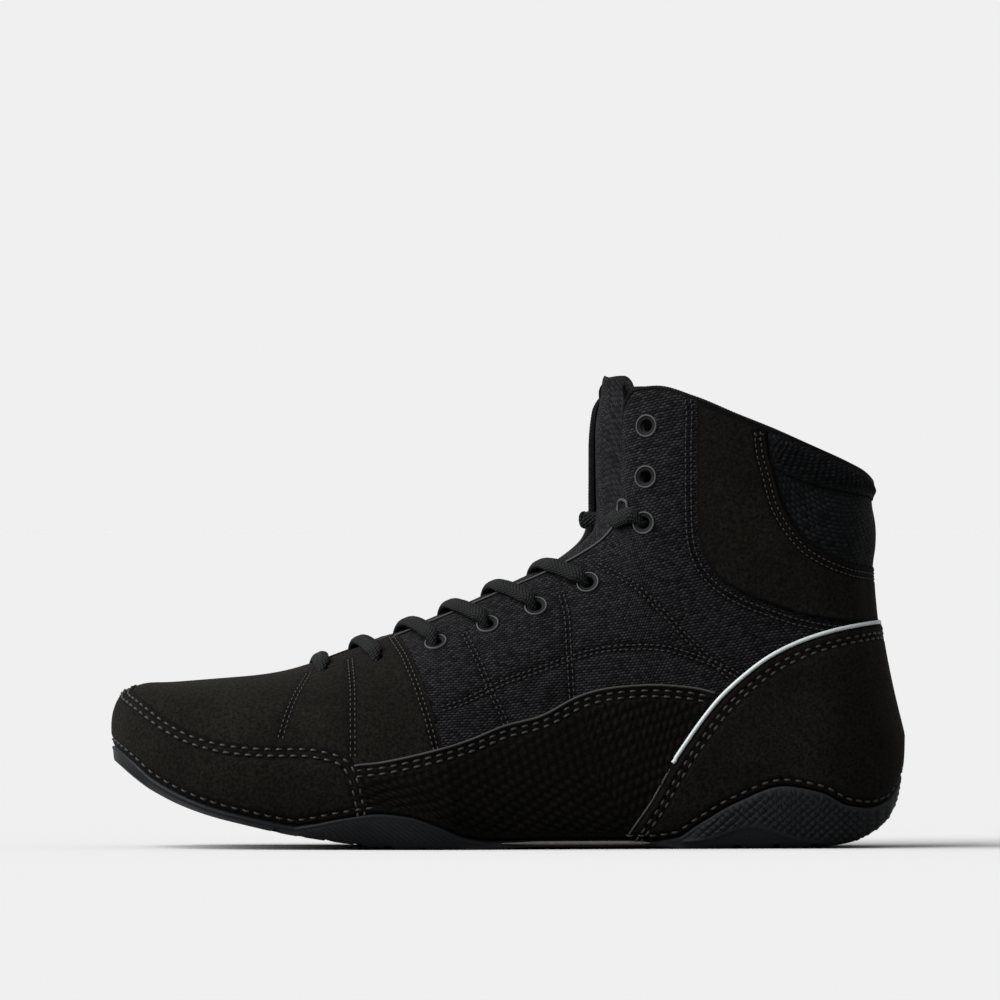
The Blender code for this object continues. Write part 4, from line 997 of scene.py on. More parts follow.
@dataclass
class Thread:
    """Lays stitches on the shoe and draws the cloth in under them."""

    last: Last
    fine: Stitch = Stitch()
    coarse: Stitch = Stitch(pitch=0.0040, length=0.0029, width=0.0010, lift=0.00005)
    batches: dict[str, list[Array]] = field(default_factory=dict)

    def row(self, path: Array, aside: float, count: int = 160) -> tuple[Array, Array, Array]:
        """Run a line beside a path on the last.

        Args:
            path: Turns and rows.
            aside: How far to the right of the path, seen from outside, in metres.
            count: How many points to return.

        Returns:
            Points on the last, the directions along the line and the directions out.
        """
        path = resample(path, count, self.last.skin(path[:, 0], path[:, 1]))
        spots = self.last.skin(path[:, 0], path[:, 1])
        out = self.last.normal(path[:, 0], path[:, 1])
        ahead = unit(np.gradient(spots, axis=0))
        return spots + np.cross(ahead, out) * aside, ahead, out

    def lay(self, batch: str, line: tuple[Array, Array, Array], out: float | Array, kind: Stitch) -> None:
        """Lay one row of stitches.

        Args:
            batch: The batch of stitches that the row joins.
            line: Points on the last, directions along and directions out.
            out: How far outside the last the cloth's face lies.
            kind: The kind of stitch.
        """
        spots, ahead, normal = line
        spots = spots + normal * (np.asarray(out, float)[..., None] + kind.lift)
        length = np.linalg.norm(np.diff(spots, axis=0), axis=1).sum()
        count = max(2, int(length / kind.pitch))
        both = resample(np.hstack((spots, ahead, normal)), count, spots)
        at, x, z = both[:, :3], unit(both[:, 3:6]), unit(both[:, 6:])
        y = unit(np.cross(z, x))
        reach = np.array((-0.5, -0.36, 0.0, 0.36, 0.5)) * kind.length
        size = np.array((0.25, 0.85, 1.0, 0.85, 0.25)) * kind.width / 2
        sink = np.array((-0.75, -0.1, 0.15, -0.1, -0.75)) * kind.width
        angle = np.arange(5) * 2 * np.pi / 5 + 0.3
        rings = (
            at[:, None, None] + x[:, None, None] * reach[None, :, None, None]
            + y[:, None, None] * (size[:, None] * np.cos(angle))[None, ..., None]
            + z[:, None, None] * (size[:, None] * np.sin(angle) * 0.8 + sink[:, None])[None, ..., None]
        )
        self.batches.setdefault(batch, []).append(rings.reshape(-1, 25, 3))

    def finish(self, batch: str, material: bpy.types.Material, slot: str) -> None:
        """Make one piece of every stitch in a batch."""
        rings = np.vstack(self.batches[batch])
        one = []
        for i in range(4):
            for j in range(5):
                k = (j + 1) % 5
                one.append((i * 5 + j, i * 5 + k, i * 5 + 5 + k, i * 5 + 5 + j))
        faces = [[v + 25 * s for v in face] for s in range(len(rings)) for face in one]
        caps = [[20, 21, 22, 23, 24], [4, 3, 2, 1, 0]]
        faces += [[v + 25 * s for v in cap] for s in range(len(rings)) for cap in caps]
        link(make_mesh(batch, rings.reshape(-1, 3), faces), slot, [material])
        LOG.info("%s: %d stitches", batch, len(rings))


@dataclass
class Overlay:
    """A piece of leather or cloth laid on the upper between two edges."""

    last: Last
    name: str
    low: Array
    high: Array
    seat: float
    thickness: float
    over_centre: bool = True
    columns: int = 260
    rows: int = 46
    swell: float = 0.0
    swell_reach: float = 0.008
    uneven: float = 0.00012
    field: Field = field(default_factory=Field)
    relief: Callable[[Array], tuple[Array, Array]] | None = None
    beneath: Callable[[Array, Array], Array] | None = None

    def grid(self, rows: int) -> tuple[Array, Array]:
        """Return turns and rows between the two edges, columns first."""
        half = self.columns if not self.over_centre else self.columns // 2
        ends = [resample(p, half, self.last.skin(p[:, 0], p[:, 1])) for p in (self.low, self.high)]
        share = 0.5 - 0.5 * np.cos(np.pi * np.linspace(0, 1, rows))
        share = 0.35 * share + 0.65 * np.linspace(0, 1, rows)
        both = ends[0][:, None] + (ends[1] - ends[0])[:, None] * share[None, :, None]
        if self.over_centre:
            both = np.concatenate((both, (both * np.array((-1.0, 1.0)))[::-1][1:]), axis=0)
        return both[..., 0], both[..., 1]

    def build(self) -> bpy.types.Object:
        """Build the piece and return it, not yet in the scene."""
        turn, row = self.grid(self.rows)
        bare = self.last.skin(turn, row)
        edge = Field()
        rims = [bare[:, 0], bare[:, -1]]
        if not self.over_centre:
            rims += [bare[0], bare[-1]]
        for rim in rims:
            if np.linalg.norm(np.diff(rim, axis=0), axis=1).sum() > 0.002:
                edge.add(rim, 0.0, 1.0)
        far = edge.reach(bare)[0]
        lip = self.thickness * 0.9
        round_off = np.sqrt(np.clip(1 - (1 - np.minimum(far / lip, 1.0)) ** 2, 0.0, 1.0))
        out = self.seat + self.thickness * round_off
        if self.beneath is not None:
            out = out + self.beneath(turn, row)
        drawn, painted_shade = self.field.drawn_in(bare)
        # Painted shade: the troughs along the seams and a band along the piece's rims darken its colour.
        painted_shade = np.maximum(painted_shade, 1 - ease(0.0004, 0.0016, far))
        out += drawn * ease(0.0, 0.001, far)
        out += undulation(bare, self.uneven, 0.031) + undulation(bare, self.uneven * 0.6, 0.013)
        if self.swell:
            out += self.swell * (1 - np.exp(-((far / self.swell_reach) ** 2)))
        outer = self.last.skin(turn, row, out)
        if self.relief is not None:
            # The relief's second value is painted shade in its low lines; it is kept off the rims and the seams.
            height, pressed = self.relief(cloth_places(outer))
            clear = ease(0.001, 0.003, far) * (1 - painted_shade)
            out, painted_shade = out + height * clear, np.maximum(painted_shade, pressed * clear)
            outer = self.last.skin(turn, row, out)
        turn, row = self.grid(6)
        inner = self.last.skin(turn, row, self.seat - 0.0004)
        return shell(self.name, outer, inner, painted_shade=painted_shade)


def hexagons(size: float, depth: float) -> Callable[[Array], tuple[Array, Array]]:
    """Return a relief of small pressed cells.

    Args:
        size: The width of a cell.
        depth: How far the lines between cells are pressed in.

    Returns:
        A function from metres on the cloth to height, and to the painted shade of the low lines between cells.
    """

    def relief(places: Array) -> tuple[Array, Array]:
        u, v = places[..., 0] / size, places[..., 1] / size
        a = np.cos(2 * np.pi * u)
        b = np.cos(2 * np.pi * (0.5 * u + 0.866 * v))
        c = np.cos(2 * np.pi * (0.5 * u - 0.866 * v))
        high = np.clip((a + b + c + 1.2) / 2.6, 0.0, 1.0)
        return depth * (high - 0.5), 0.9 * (1 - high)

    return relief


def ribs(pitch: float, depth: float) -> Callable[[Array], tuple[Array, Array]]:
    """Return a relief of slanting ribs.

    Args:
        pitch: From rib to rib.
        depth: Half the height of a rib.

    Returns:
        A function from metres on the cloth to height, and to the painted shade in the troughs between ribs.
    """

    def relief(places: Array) -> tuple[Array, Array]:
        wave = np.sin(2 * np.pi * (places[..., 0] + 0.35 * places[..., 1]) / pitch)
        return depth * wave, 0.4 - 0.4 * wave

    return relief


@dataclass
class Upper:
    """The knit boot with its suede vamp, collar pad, bindings and overlays."""

    last: Last
    view: View
    thread: Thread
    wardrobe: Wardrobe
    wall: float = 0.0022
    pad_depth: float = 0.0040
    vamp_step: float = 0.0006
    knit_swell: float = 0.0006
    binding: float = 0.0011
    bumper_thickness: float = 0.0014
    counter_thickness: float = 0.0021
    panel_thickness: float = 0.0010
    ankle_thickness: float = 0.0010
    columns: int = 420
    rows: int = 96
    vamp_rows: tuple[float, float] = (0.0016, 0.0032)
    vamp_thread: float = 0.0002
    bumper_rows: tuple[float, float] = (-0.0019, -0.0044)
    counter_rows: tuple[float, float] = (0.0031, 0.0050)
    panel_rows: tuple[float, float] = (0.0021, 0.0042)
    double_row: tuple[float, float] = (-0.0008, 0.0008)
    brim_row: float = 0.0020
    piping_radii: tuple[float, float] = (0.00075, 0.00085)
    heel_heights: tuple[float, ...] = (0.0787, 0.0805, 0.1005, 0.1245)
    bumper_height: float = 0.0568
    throat_fold: tuple[float, float] = (0.31, 0.632)

    def __post_init__(self) -> None:
        """Find every seam of the photograph on the last."""
        crest = self.last.row_at(np.array([0.0]), np.array([self.bumper_height]))[0]
        self.bumper_edge = np.vstack(([[0.0, crest]], self.found(BUMPER_MARKS, 60)))
        self.panel_edge = self.found(PANEL_TOP, 60)
        edges = ((COUNTER_MARKS, 70), (ANKLE_FRONT, 70), (ANKLE_REAR, 60), (PAD_SEAM, 40))
        ends = self.last.row_at(np.ones(4), np.array(self.heel_heights))
        self.counter_edge, self.ankle_front, self.ankle_rear, self.pad_seam = (
            np.vstack((self.found(marks, count), [[1.0, end]])) for (marks, count), end in zip(edges, ends)
        )
        self.vamp_edge = self.found(VAMP_EDGE, 50)
        self.vamp_seams = [self.found(marks, 30) for marks in VAMP_SEAMS]
        self.quilts = [self.found(marks, 40) for marks in QUILT_SEAMS]
        self.eyelets = self.last.find(self.view, EYELETS)
        self.knit_field = Field()

    def found(self, marks: Marks, count: int) -> Array:
        """Return a seam's turns and rows, smoothed through its marks."""
        return self.last.find(self.view, smooth_path(marks, count))

    def brim_path(self, start: float, end: float, room: float = 0.0004, count: int = 90) -> Array:
        """Return the rubber's edge from one turn to another."""
        turns = np.linspace(start, end, count)
        return np.stack((turns, self.last.brim(turns, room)), axis=1)

    def knit_out(self, turn: Array, row: Array) -> tuple[Array, Array]:
        """Return how far the knit's face stands off the last, and the painted shade along its quilting seams."""
        bare = self.last.skin(turn, row)
        along, _ = self.last.place(turn)
        swell, painted_shade = self.knit_field.drawn_in(bare, self.knit_swell, 0.007)
        quiet = ease(-0.8, 0.0, row) * (1 - ease(0.97, 1.0, row))
        quiet = quiet * ease(0.33, 0.42, along) * (1 - ease(0.80, 0.86, along))
        return swell * quiet + undulation(bare, 0.00015, 0.03), painted_shade * 0.8

    def build_knit(self) -> None:
        """Build the hollow knit boot and punch its eyelets."""
        for path in self.quilts:
            for sign in (1, -1):
                for aside in self.double_row:
                    line = self.thread.row(mirrored(path, sign), aside)
                    self.knit_field.add(line[0], 0.0008, 0.0010)
                line = self.thread.row(mirrored(self.ankle_front, sign), 0.0030 * sign)
                self.knit_field.add(line[0], 0.0005, 0.0016)
        fine = np.linspace(1.0, -1.0, 2400)
        turns = resample(fine[:, None], self.columns, self.last.skin(fine, np.full(2400, 0.45)))[:, 0]
        turns[0], turns[-1] = 1.0, -1.0
        start = self.last.turn_of(self.last.throat_start)
        for value in (0.0, start, -start):
            turns[np.argmin(np.abs(turns - value))] = value
        low = np.linspace(-1.0, 0.0, 14)[:-1]
        rows = np.concatenate((low, np.linspace(0.0, 0.97, self.rows - 20), np.linspace(0.975, 1.0, 7)))
        turn, row = np.meshgrid(turns, rows, indexing="ij")
        out, painted_shade = self.knit_out(turn, row)
        outer = self.last.skin(turn, row, out)
        inner_rows = np.concatenate((np.linspace(-1.0, 0.0, 6)[:-1], np.linspace(0.0, 1.0, 26)))
        turn, row = np.meshgrid(turns, inner_rows, indexing="ij")
        along, _ = self.last.place(turn)
        pad = ease(0.81, 0.87, along) * ease(0.60, 0.80, row) * (1 - 0.7 * ease(0.90, 1.04, row))
        inner = self.last.skin(turn, row, -self.wall - self.pad_depth * pad)
        ends = self.last.place(turns)[0]
        open_top = np.maximum(ends[:-1], ends[1:]) > self.last.throat_start + 1e-6
        boot = shell("knit_boot", outer, inner, open_top, ends=False, painted_shade=painted_shade)
        link(boot, "knit", [self.wardrobe.knit, self.wardrobe.lining], "upper")
        self.punch(boot, range(PUNCHED_PAIRS, len(self.eyelets)))
        LOG.info("knit_boot: %d faces", len(boot.data.polygons))

    def punch(self, piece: bpy.types.Object, pairs: Sequence[int], radius: float = 0.0023) -> None:
        """Cut round holes through a piece at some pairs of eyelets."""
        cutter = bmesh.new()
        for number in pairs:
            for sign in (1, -1):
                turn, row = self.eyelets[number] * np.array((sign, 1.0))
                spot = Vector(self.last.skin(turn, row).tolist())
                out = Vector(self.last.normal(turn, row).tolist())
                turned = out.to_track_quat("Z", "Y").to_matrix().to_4x4()
                turned.translation = spot
                bmesh.ops.create_cone(
                    cutter, cap_ends=True, segments=20, radius1=radius, radius2=radius, depth=0.012, matrix=turned
                )
        mesh = bpy.data.meshes.new("punch")
        cutter.to_mesh(mesh)
        cutter.free()
        punch = bpy.data.objects.new("punch", mesh)
        bpy.context.scene.collection.objects.link(punch)
        change = piece.modifiers.new("holes", "BOOLEAN")
        change.operation, change.solver, change.object = "DIFFERENCE", "EXACT", punch
        graph = bpy.context.evaluated_depsgraph_get()
        graph.update()
        made = bpy.data.meshes.new_from_object(piece.evaluated_get(graph))
        piece.modifiers.clear()
        piece.data = made
        piece.data.shade_smooth()
        piece.data.set_sharp_from_angle(angle=math.radians(50))
        bpy.data.objects.remove(punch)
        for material in list(piece.data.materials):
            if material is None:
                piece.data.materials.pop()

    def build_vamp(self) -> None:
        """Build the suede vamp over the front of the boot."""
        half = 120
        low = np.linspace(-0.95, 0.0, 12)[:-1]
        rows = np.concatenate((low, np.linspace(0.0, 0.97, 62), (0.98, 0.99, 1.0)))
        order = np.argsort(self.vamp_edge[:, 1])
        ends = np.interp(rows, self.vamp_edge[order, 1], self.vamp_edge[order, 0])
        share = np.linspace(1.0, -1.0, 2 * half + 1)
        turn = share[:, None] * ends[None, :]
        row = np.broadcast_to(rows, turn.shape)
        bare = self.last.skin(turn, row)
        seams = Field()
        sewn = self.vamp_step + self.vamp_thread
        for path in self.vamp_seams:
            for sign in (1, -1):
                for aside in self.double_row:
                    line = self.thread.row(mirrored(path, sign), aside)
                    seams.add(line[0], 0.0005, 0.0009)
                    self.thread.lay("seam_stitches", line, sewn, self.thread.fine)
        for sign in (1, -1):
            for aside in self.vamp_rows:
                line = self.thread.row(mirrored(self.vamp_edge[:40], sign), aside * sign)
                seams.add(line[0], 0.0005, 0.0009)
                self.thread.lay("seam_stitches", line, sewn, self.thread.fine)
        edge = Field()
        edge.add(bare[0], 0.0, 1.0)
        edge.add(bare[-1], 0.0, 1.0)
        far = edge.reach(bare)[0]
        lip = np.sqrt(np.clip(1 - (1 - np.minimum(far / 0.0011, 1.0)) ** 2, 0, 1))
        # The troughs along the stitching rows also give painted shade.
        drawn, painted_shade = seams.drawn_in(bare)
        out = 0.0002 + (self.vamp_step + 0.0004) * lip + drawn * ease(0.0, 0.001, far)
        out += undulation(bare, 0.00022, 0.034)
        outer = self.last.skin(turn, row, out)
        inner_rows = np.linspace(-0.95, 1.0, 12)
        ends = np.interp(inner_rows, self.vamp_edge[order, 1], self.vamp_edge[order, 0])
        turn = share[:, None] * ends[None, :]
        inner = self.last.skin(turn, np.broadcast_to(inner_rows, turn.shape), -0.0003)
        tops = self.last.place(share * ends[-1])[0]
        open_top = np.maximum(tops[:-1], tops[1:]) > self.last.throat_start
        vamp = shell("suede_vamp", outer, inner, open_top, painted_shade=painted_shade)
        link(vamp, "suede", [self.wardrobe.suede])
        self.punch(vamp, range(PUNCHED_PAIRS))

    def seam_along(
        self, field_: Field, path: Array, asides: Sequence[float], out: float, kind: Stitch, batch: str,
        depth: float = 0.0005, width: float = 0.0010,
    ) -> None:
        """Sew rows beside an edge and on over the centre line, on both sides of the shoe.

        Args:
            field_: The field of the cloth that the rows draw in.
            path: Turns and rows of the edge, on the outer side.
            asides: How far each row is from the edge.
            out: How far outside the last the cloth's face lies.
            kind: The kind of stitch.
            batch: The batch that the stitches join.
            depth: How deep the rows are drawn in.
            width: How wide each trough is.
        """
        whole = wrap(path)
        for aside in asides:
            line = self.thread.row(whole, aside, 320)
            field_.add(line[0], depth, width)
            self.thread.lay(batch, line, out - depth * 0.8, kind)

    def edge_sewing(self, piece: Overlay) -> Callable[..., None]:
        """Return a function that sews coarse rows on a piece's face."""
        out = piece.seat + piece.thickness
        return partial(self.seam_along, piece.field, out=out, kind=self.thread.coarse, batch="edge_stitches")

    def build_bumper(self) -> None:
        """Build the toe bumper."""
        edge = self.bumper_edge[::-1]
        low = self.brim_path(edge[0, 0], 0.0)
        piece = Overlay(
            self.last, "suede_bumper", low, edge, 0.0007, self.bumper_thickness, columns=380, rows=52
        )
        sew = self.edge_sewing(piece)
        sew(edge, self.bumper_rows, depth=0.0008, width=0.0010)
        sew(low, (self.brim_row,), depth=0.0006, width=0.0010)
        link(piece.build(), "suede", [self.wardrobe.suede], "toe_bumper")
        LOG.info("suede_bumper built")

    def build_counter(self) -> None:
        """Build the heel counter and its piping."""
        edge = self.counter_edge
        low = self.brim_path(edge[0, 0], 1.0)
        piece = Overlay(
            self.last, "suede_counter", low, edge, 0.0004, self.counter_thickness, columns=420, rows=60
        )
        sew = self.edge_sewing(piece)
        sew(edge, self.counter_rows, depth=0.0007, width=0.0009)
        sew(low, (-self.brim_row,), depth=0.0006, width=0.0010)
        link(piece.build(), "suede", [self.wardrobe.suede], "heel_counter")
        first = self.last.find(self.view, [COUNTER_MARKS[PIPING_FROM]])[0, 0]
        run = wrap(edge[edge[:, 0] >= first])
        spots, _, normal = self.thread.row(run, -0.0007, 400)
        path = spots + normal * 0.0015
        cord = tube("silver_piping", path, normal, *self.piping_radii, 12)
        link(cord, "piping", [self.wardrobe.piping], "heel_piping")
        for side in Side:
            run = mirrored(edge[edge[:, 0] <= first], side.value)
            spots, _, normal = self.thread.row(run, -0.0003 * side.value, 160)
            # A cord along the counter's edge, in the lighter tone of a painted highlight.
            lit_fold = tube(f"counter_fold_{side.word}", spots + normal * 0.0012, normal, 0.0004, 0.0005, 8)
            link(lit_fold, "suede", [self.wardrobe.lit_fold])
        LOG.info("suede_counter built, piping %d points", len(path))

    def vamp_beneath(self, turn: Array, row: Array) -> Array:
        """Return how much higher a piece lies where the vamp runs under it."""
        order = np.argsort(self.vamp_edge[:, 1])
        border = np.interp(row, self.vamp_edge[order, 1], self.vamp_edge[order, 0])
        return 0.0005 * (1 - ease(0.0, 0.006, np.abs(turn) - border))

    def build_panels(self) -> None:
        """Build the pressed side panels, which run under the bumper and the counter."""
        top = self.panel_edge
        counter = self.counter_edge
        below = counter[counter[:, 0] <= top[-1, 0] + 0.004]
        rear = np.stack((below[:, 0] + 0.012, below[:, 1]), axis=1)
        front = float(top[0, 0]) - 0.004
        brim = self.brim_path(front, float(rear[0, 0]))
        low = np.vstack((brim, rear[1:]))
        high = np.vstack((brim[:1], top, rear[-1:]))
        for side in Side:
            sign = side.value
            ends = (mirrored(low, sign), mirrored(high, sign))
            piece = Overlay(
                self.last, f"pressed_panel_{side.word}", *ends, 0.0003, self.panel_thickness,
                over_centre=False, columns=300, rows=84,
            )
            out = piece.seat + piece.thickness
            sewn = mirrored(top[4:56], sign)
            raised = resample(sewn, 320, self.last.skin(sewn[:, 0], sewn[:, 1]))
            raised = self.vamp_beneath(raised[:, 0], raised[:, 1])
            for aside in self.panel_rows:
                line = self.thread.row(sewn, aside * sign, 320)
                piece.field.add(line[0], 0.0007, 0.0010)
                self.thread.lay("edge_stitches", line, out - 0.0005 + raised, self.thread.coarse)
            piece.relief = hexagons(0.0033, 0.00050)
            piece.beneath = self.vamp_beneath
            run = mirrored(top[3:58], sign)
            run = resample(run, 260, self.last.skin(run[:, 0], run[:, 1]))
            spots, _, normal = self.thread.row(run, 0.0002 * sign, 260)
            level = out - 0.0002 + self.vamp_beneath(run[:, 0], run[:, 1])
            path = spots + normal * level[:, None]
            # A cord along the panel's top edge, in the lighter tone of a painted highlight.
            lit_fold = tube(f"folded_edge_highlight_{side.word}", path, normal, 0.00042, 0.00042, 8)
            link(lit_fold, "embossed_panel", [self.wardrobe.lit_fold])
            link(piece.build(), "embossed_panel", [self.wardrobe.panel], f"side_panel_{side.node}")
        LOG.info("pressed panels built")

    def build_ankle(self) -> None:
        """Build the smooth suede piece round the ankle."""
        front, rear = self.ankle_front, self.ankle_rear
        collar = np.stack((np.linspace(front[0, 0], rear[0, 0], 40), np.full(40, 0.995)), axis=1)
        high = np.vstack((collar, rear[rear[:, 1] < 0.99]))
        low = np.vstack((collar[:1], front[front[:, 1] < 0.99]))
        piece = Overlay(
            self.last, "suede_ankle", low, high, 0.0003, self.ankle_thickness, columns=400, rows=56
        )
        out = piece.seat + piece.thickness
        rows = (0.0022, 0.0042)
        self.seam_along(piece.field, high[38:], rows, out, self.thread.fine, "seam_stitches", 0.0004, 0.0009)
        link(piece.build(), "suede", [self.wardrobe.suede], "ankle_piece")
        knit = Field()
        rows = (0.0020, 0.0040)
        self.seam_along(knit, low, rows, 0.0007, self.thread.fine, "quilt_stitches", 0.0005, 0.0009)
        LOG.info("suede_ankle built")

    def build_pad(self) -> None:
        """Build the padded collar and its rolled band."""
        seam, rear = self.pad_seam, self.ankle_rear
        low = rear[np.searchsorted(-rear[:, 1], -seam[0, 1]):]
        low = np.vstack((seam[:1], low[low[:, 1] < seam[0, 1]]))
        pad = Overlay(
            self.last, "collar_pad", low, seam, 0.0001, 0.0006, columns=340, rows=54,
            swell=0.0014, swell_reach=0.006, uneven=0.0003,
        )
        link(pad.build(), "knit", [self.wardrobe.pad])
        start = rear[0, 0]
        rim = np.stack((np.linspace(start, 1.0, 60), np.full(60, 0.998)), axis=1)
        first = np.vstack((rim[:1], seam))
        band = Overlay(
            self.last, "collar_band", first, rim, 0.0001, 0.0008, columns=700, rows=26,
            swell=0.0013, swell_reach=0.0035, uneven=0.0001,
        )
        band.relief = ribs(0.0024, 0.00022)
        link(band.build(), "knit", [self.wardrobe.pad])

    def build_bindings(self) -> None:
        """Bind the collar's rim and the throat's edges."""
        start = self.last.turn_of(self.last.throat_start + 0.004)

        def ripple(along: Array, angle: Array) -> Array:
            return 0.00006 * np.sin(2 * np.pi * along / 0.0011)

        for side in Side:
            turns = np.linspace(start, 1.0, 700) * side.value
            path = np.stack((turns, np.full(700, 1.0)), axis=1)
            path = resample(path, 520, self.last.skin(path[:, 0], path[:, 1]))
            spots = self.last.skin(path[:, 0], path[:, 1], -self.wall * 0.42)
            normal = self.last.normal(path[:, 0], path[:, 1])
            radii = (self.binding * 0.7, self.binding * 1.2)
            rim = tube(f"edge_binding_{side.word}", spots, normal, *radii, 12, ripple)
            link(rim, "lining", [self.wardrobe.lining])
            turns = np.linspace(*map(self.last.turn_of, self.throat_fold), 120) * side.value
            rows = np.ones(120)
            path, normal = self.last.skin(turns, rows, 0.00045), self.last.normal(turns, rows)
            # A cord along the throat's edge, in the lighter tone of a painted highlight.
            lit_fold = tube(f"throat_fold_{side.word}", path, normal, 0.00045, 0.0004, 8)
            link(lit_fold, "knit", [self.wardrobe.lit_fold])

    def build_keepers(self) -> None:
        """Build the thin loop above the top run of lace."""
        run = self.last.find(self.view, KEEPER_MARKS)
        out = self.last.normal(run[:, 0], run[:, 1])
        both = smooth_path(np.hstack((self.last.skin(run[:, 0], run[:, 1], 0.0013), out)), 60)
        loop = tube("keeper_loop", both[:, :3], unit(both[:, 3:]), 0.0006, 0.0005, 8)
        # The loop takes the lighter edge tone, a painted highlight.
        link(loop, "lace", [self.wardrobe.lit_fold])

    def sew_quilts(self) -> None:
        """Sew the quilting rows of the knit."""
        for path in self.quilts:
            for sign in (1, -1):
                for aside in self.double_row:
                    line = self.thread.row(mirrored(path, sign), aside)
                    self.thread.lay("quilt_stitches", line, -0.0002, self.thread.fine)

    def build(self) -> None:
        """Build every piece of the upper."""
        self.build_knit()
        self.build_vamp()
        self.build_bumper()
        self.build_counter()
        self.build_panels()
        self.build_ankle()
        self.build_pad()
        self.build_bindings()
        self.build_keepers()
        self.sew_quilts()


@dataclass
class Tongue:
    """The padded knit tongue."""

    last: Last
    wardrobe: Wardrobe
    thickness: float = 0.0034
    room: float = 0.0010
    wall: float = 0.0022
    lap: float = 0.20
    crown: float = 0.0030
    bow: float = 0.0028
    rise: float = 0.0050
    columns: int = 150
    rows: int = 46
    stations: tuple[float, ...] = (
        0.215, 0.238, 0.255, 0.280, 0.320, 0.370, 0.420, 0.470, 0.520, 0.560, 0.595, 0.622, 0.645,
        0.662, 0.680, 0.698, 0.712,
    )
    top: tuple[tuple[float, float], ...] = (
        (0.30, 0.985), (0.58, 0.95), (0.80, 0.88), (0.94, 0.77), (1.0, 0.66),
    )

    def sections(self) -> Array:
        """Return seven points across the tongue at each station."""
        made = []
        for along in self.stations:
            half = self.last.turn_of(along)
            rows = np.array((1 - self.lap, 1 - self.lap / 2, 1.0))
            near = self.last.skin(np.full(3, half), rows, -(self.wall + self.room))
            far = self.last.skin(np.full(3, -half), rows, -(self.wall + self.room))
            middle = (near[-1] + far[-1]) / 2
            opened = float(ease(0.238, 0.298, along))
            upright = float(ease(0.58, 0.68, along))
            middle[2] += self.crown * opened * (1 - upright)
            middle[0] -= self.bow * upright + 0.4 * self.crown * opened
            made.append(np.vstack((near, middle, far[::-1])))
        last_one = made[-1]
        middle = last_one[3]
        for share, narrow in self.top:
            risen = middle + (last_one - middle) * narrow
            risen[:, 2] += (self.rise - 0.0012 + self.last.shaft_height - middle[2]) * share
            risen[:, 0] += 0.15 * self.rise * share
            made.append(risen)
        return np.array(made)

    def build(self) -> None:
        """Build the tongue with a soft thickness and a seam near its top."""
        coarse = self.sections()
        across = np.array([smooth_path(section, self.rows) for section in coarse])
        runs = [resample(smooth_path(across[:, j], 500), self.columns) for j in range(self.rows)]
        face = np.array(runs).transpose(1, 0, 2)
        along = np.gradient(face, axis=0)
        side = np.gradient(face, axis=1)
        out = unit(np.cross(along, side))
        if out[self.columns // 3, self.rows // 2, 2] < 0:
            out = -out
        for _ in range(12):
            wide = np.pad(out, ((1, 1), (1, 1), (0, 0)), mode="edge")
            out = unit(wide[:-2, 1:-1] + wide[2:, 1:-1] + wide[1:-1, :-2] + wide[1:-1, 2:] + out)
        edge = np.minimum(np.linspace(0, 1, self.rows), np.linspace(1, 0, self.rows))
        puff = np.sqrt(np.clip(1 - (1 - np.minimum(edge / 0.10, 1)) ** 2, 0, 1))[None, :]
        tip = np.linspace(0, 1, self.columns)[:, None]
        puff = puff * np.sqrt(np.clip(1 - (1 - np.minimum((1 - tip) / 0.02, 1)) ** 2, 0, 1))
        puff = puff * (1 - 0.35 * np.exp(-(((tip - 0.955) / 0.006) ** 2)))
        bulge = 0.0006 * puff
        outer = face + out * bulge[..., None]
        inner = face - out * (self.thickness * (0.35 + 0.65 * puff))[..., None]
        piece = shell("knit_tongue", outer.transpose(1, 0, 2), inner.transpose(1, 0, 2))
        link(piece, "knit", [self.wardrobe.knit, self.wardrobe.lining], "tongue")


@dataclass
class Insole:
    """The cloth-covered insole."""

    last: Last
    wardrobe: Wardrobe
    inset: float = 0.0063
    lift: float = 0.0025
    thickness: float = 0.0030
    columns: int = 160
    rows: int = 25

    def build(self) -> None:
        """Build the insole as a slightly dished board."""
        along = np.linspace(0.016, 0.985, self.columns)
        half = np.arccos(1 - 2 * along) / np.pi
        edges = []
        for sign in (1, -1):
            turn = half * sign
            inward = self.last.inward(turn)
            spot = self.last.skin(turn, np.zeros(len(turn)))
            spot[:, :2] += inward * self.inset
            x = spot[:, 0] - self.last.shift[0]
            spot[:, 2] = self.last.feather(x) + self.lift
            edges.append(spot)
        share = np.linspace(0, 1, self.rows)[None, :, None]
        low = edges[0][:, None] + (edges[1] - edges[0])[:, None] * share
        rim = np.minimum(share, 1 - share)
        high = low.copy()
        rounding = 0.0008 * np.exp(-((rim[..., 0] / 0.03) ** 2))
        high[..., 2] += self.thickness - rounding - 0.0006 * np.sin(np.pi * share[..., 0])
        link(shell("cloth_insole", high, low[:, ::4]), "lining", [self.wardrobe.lining] * 2, "insole")


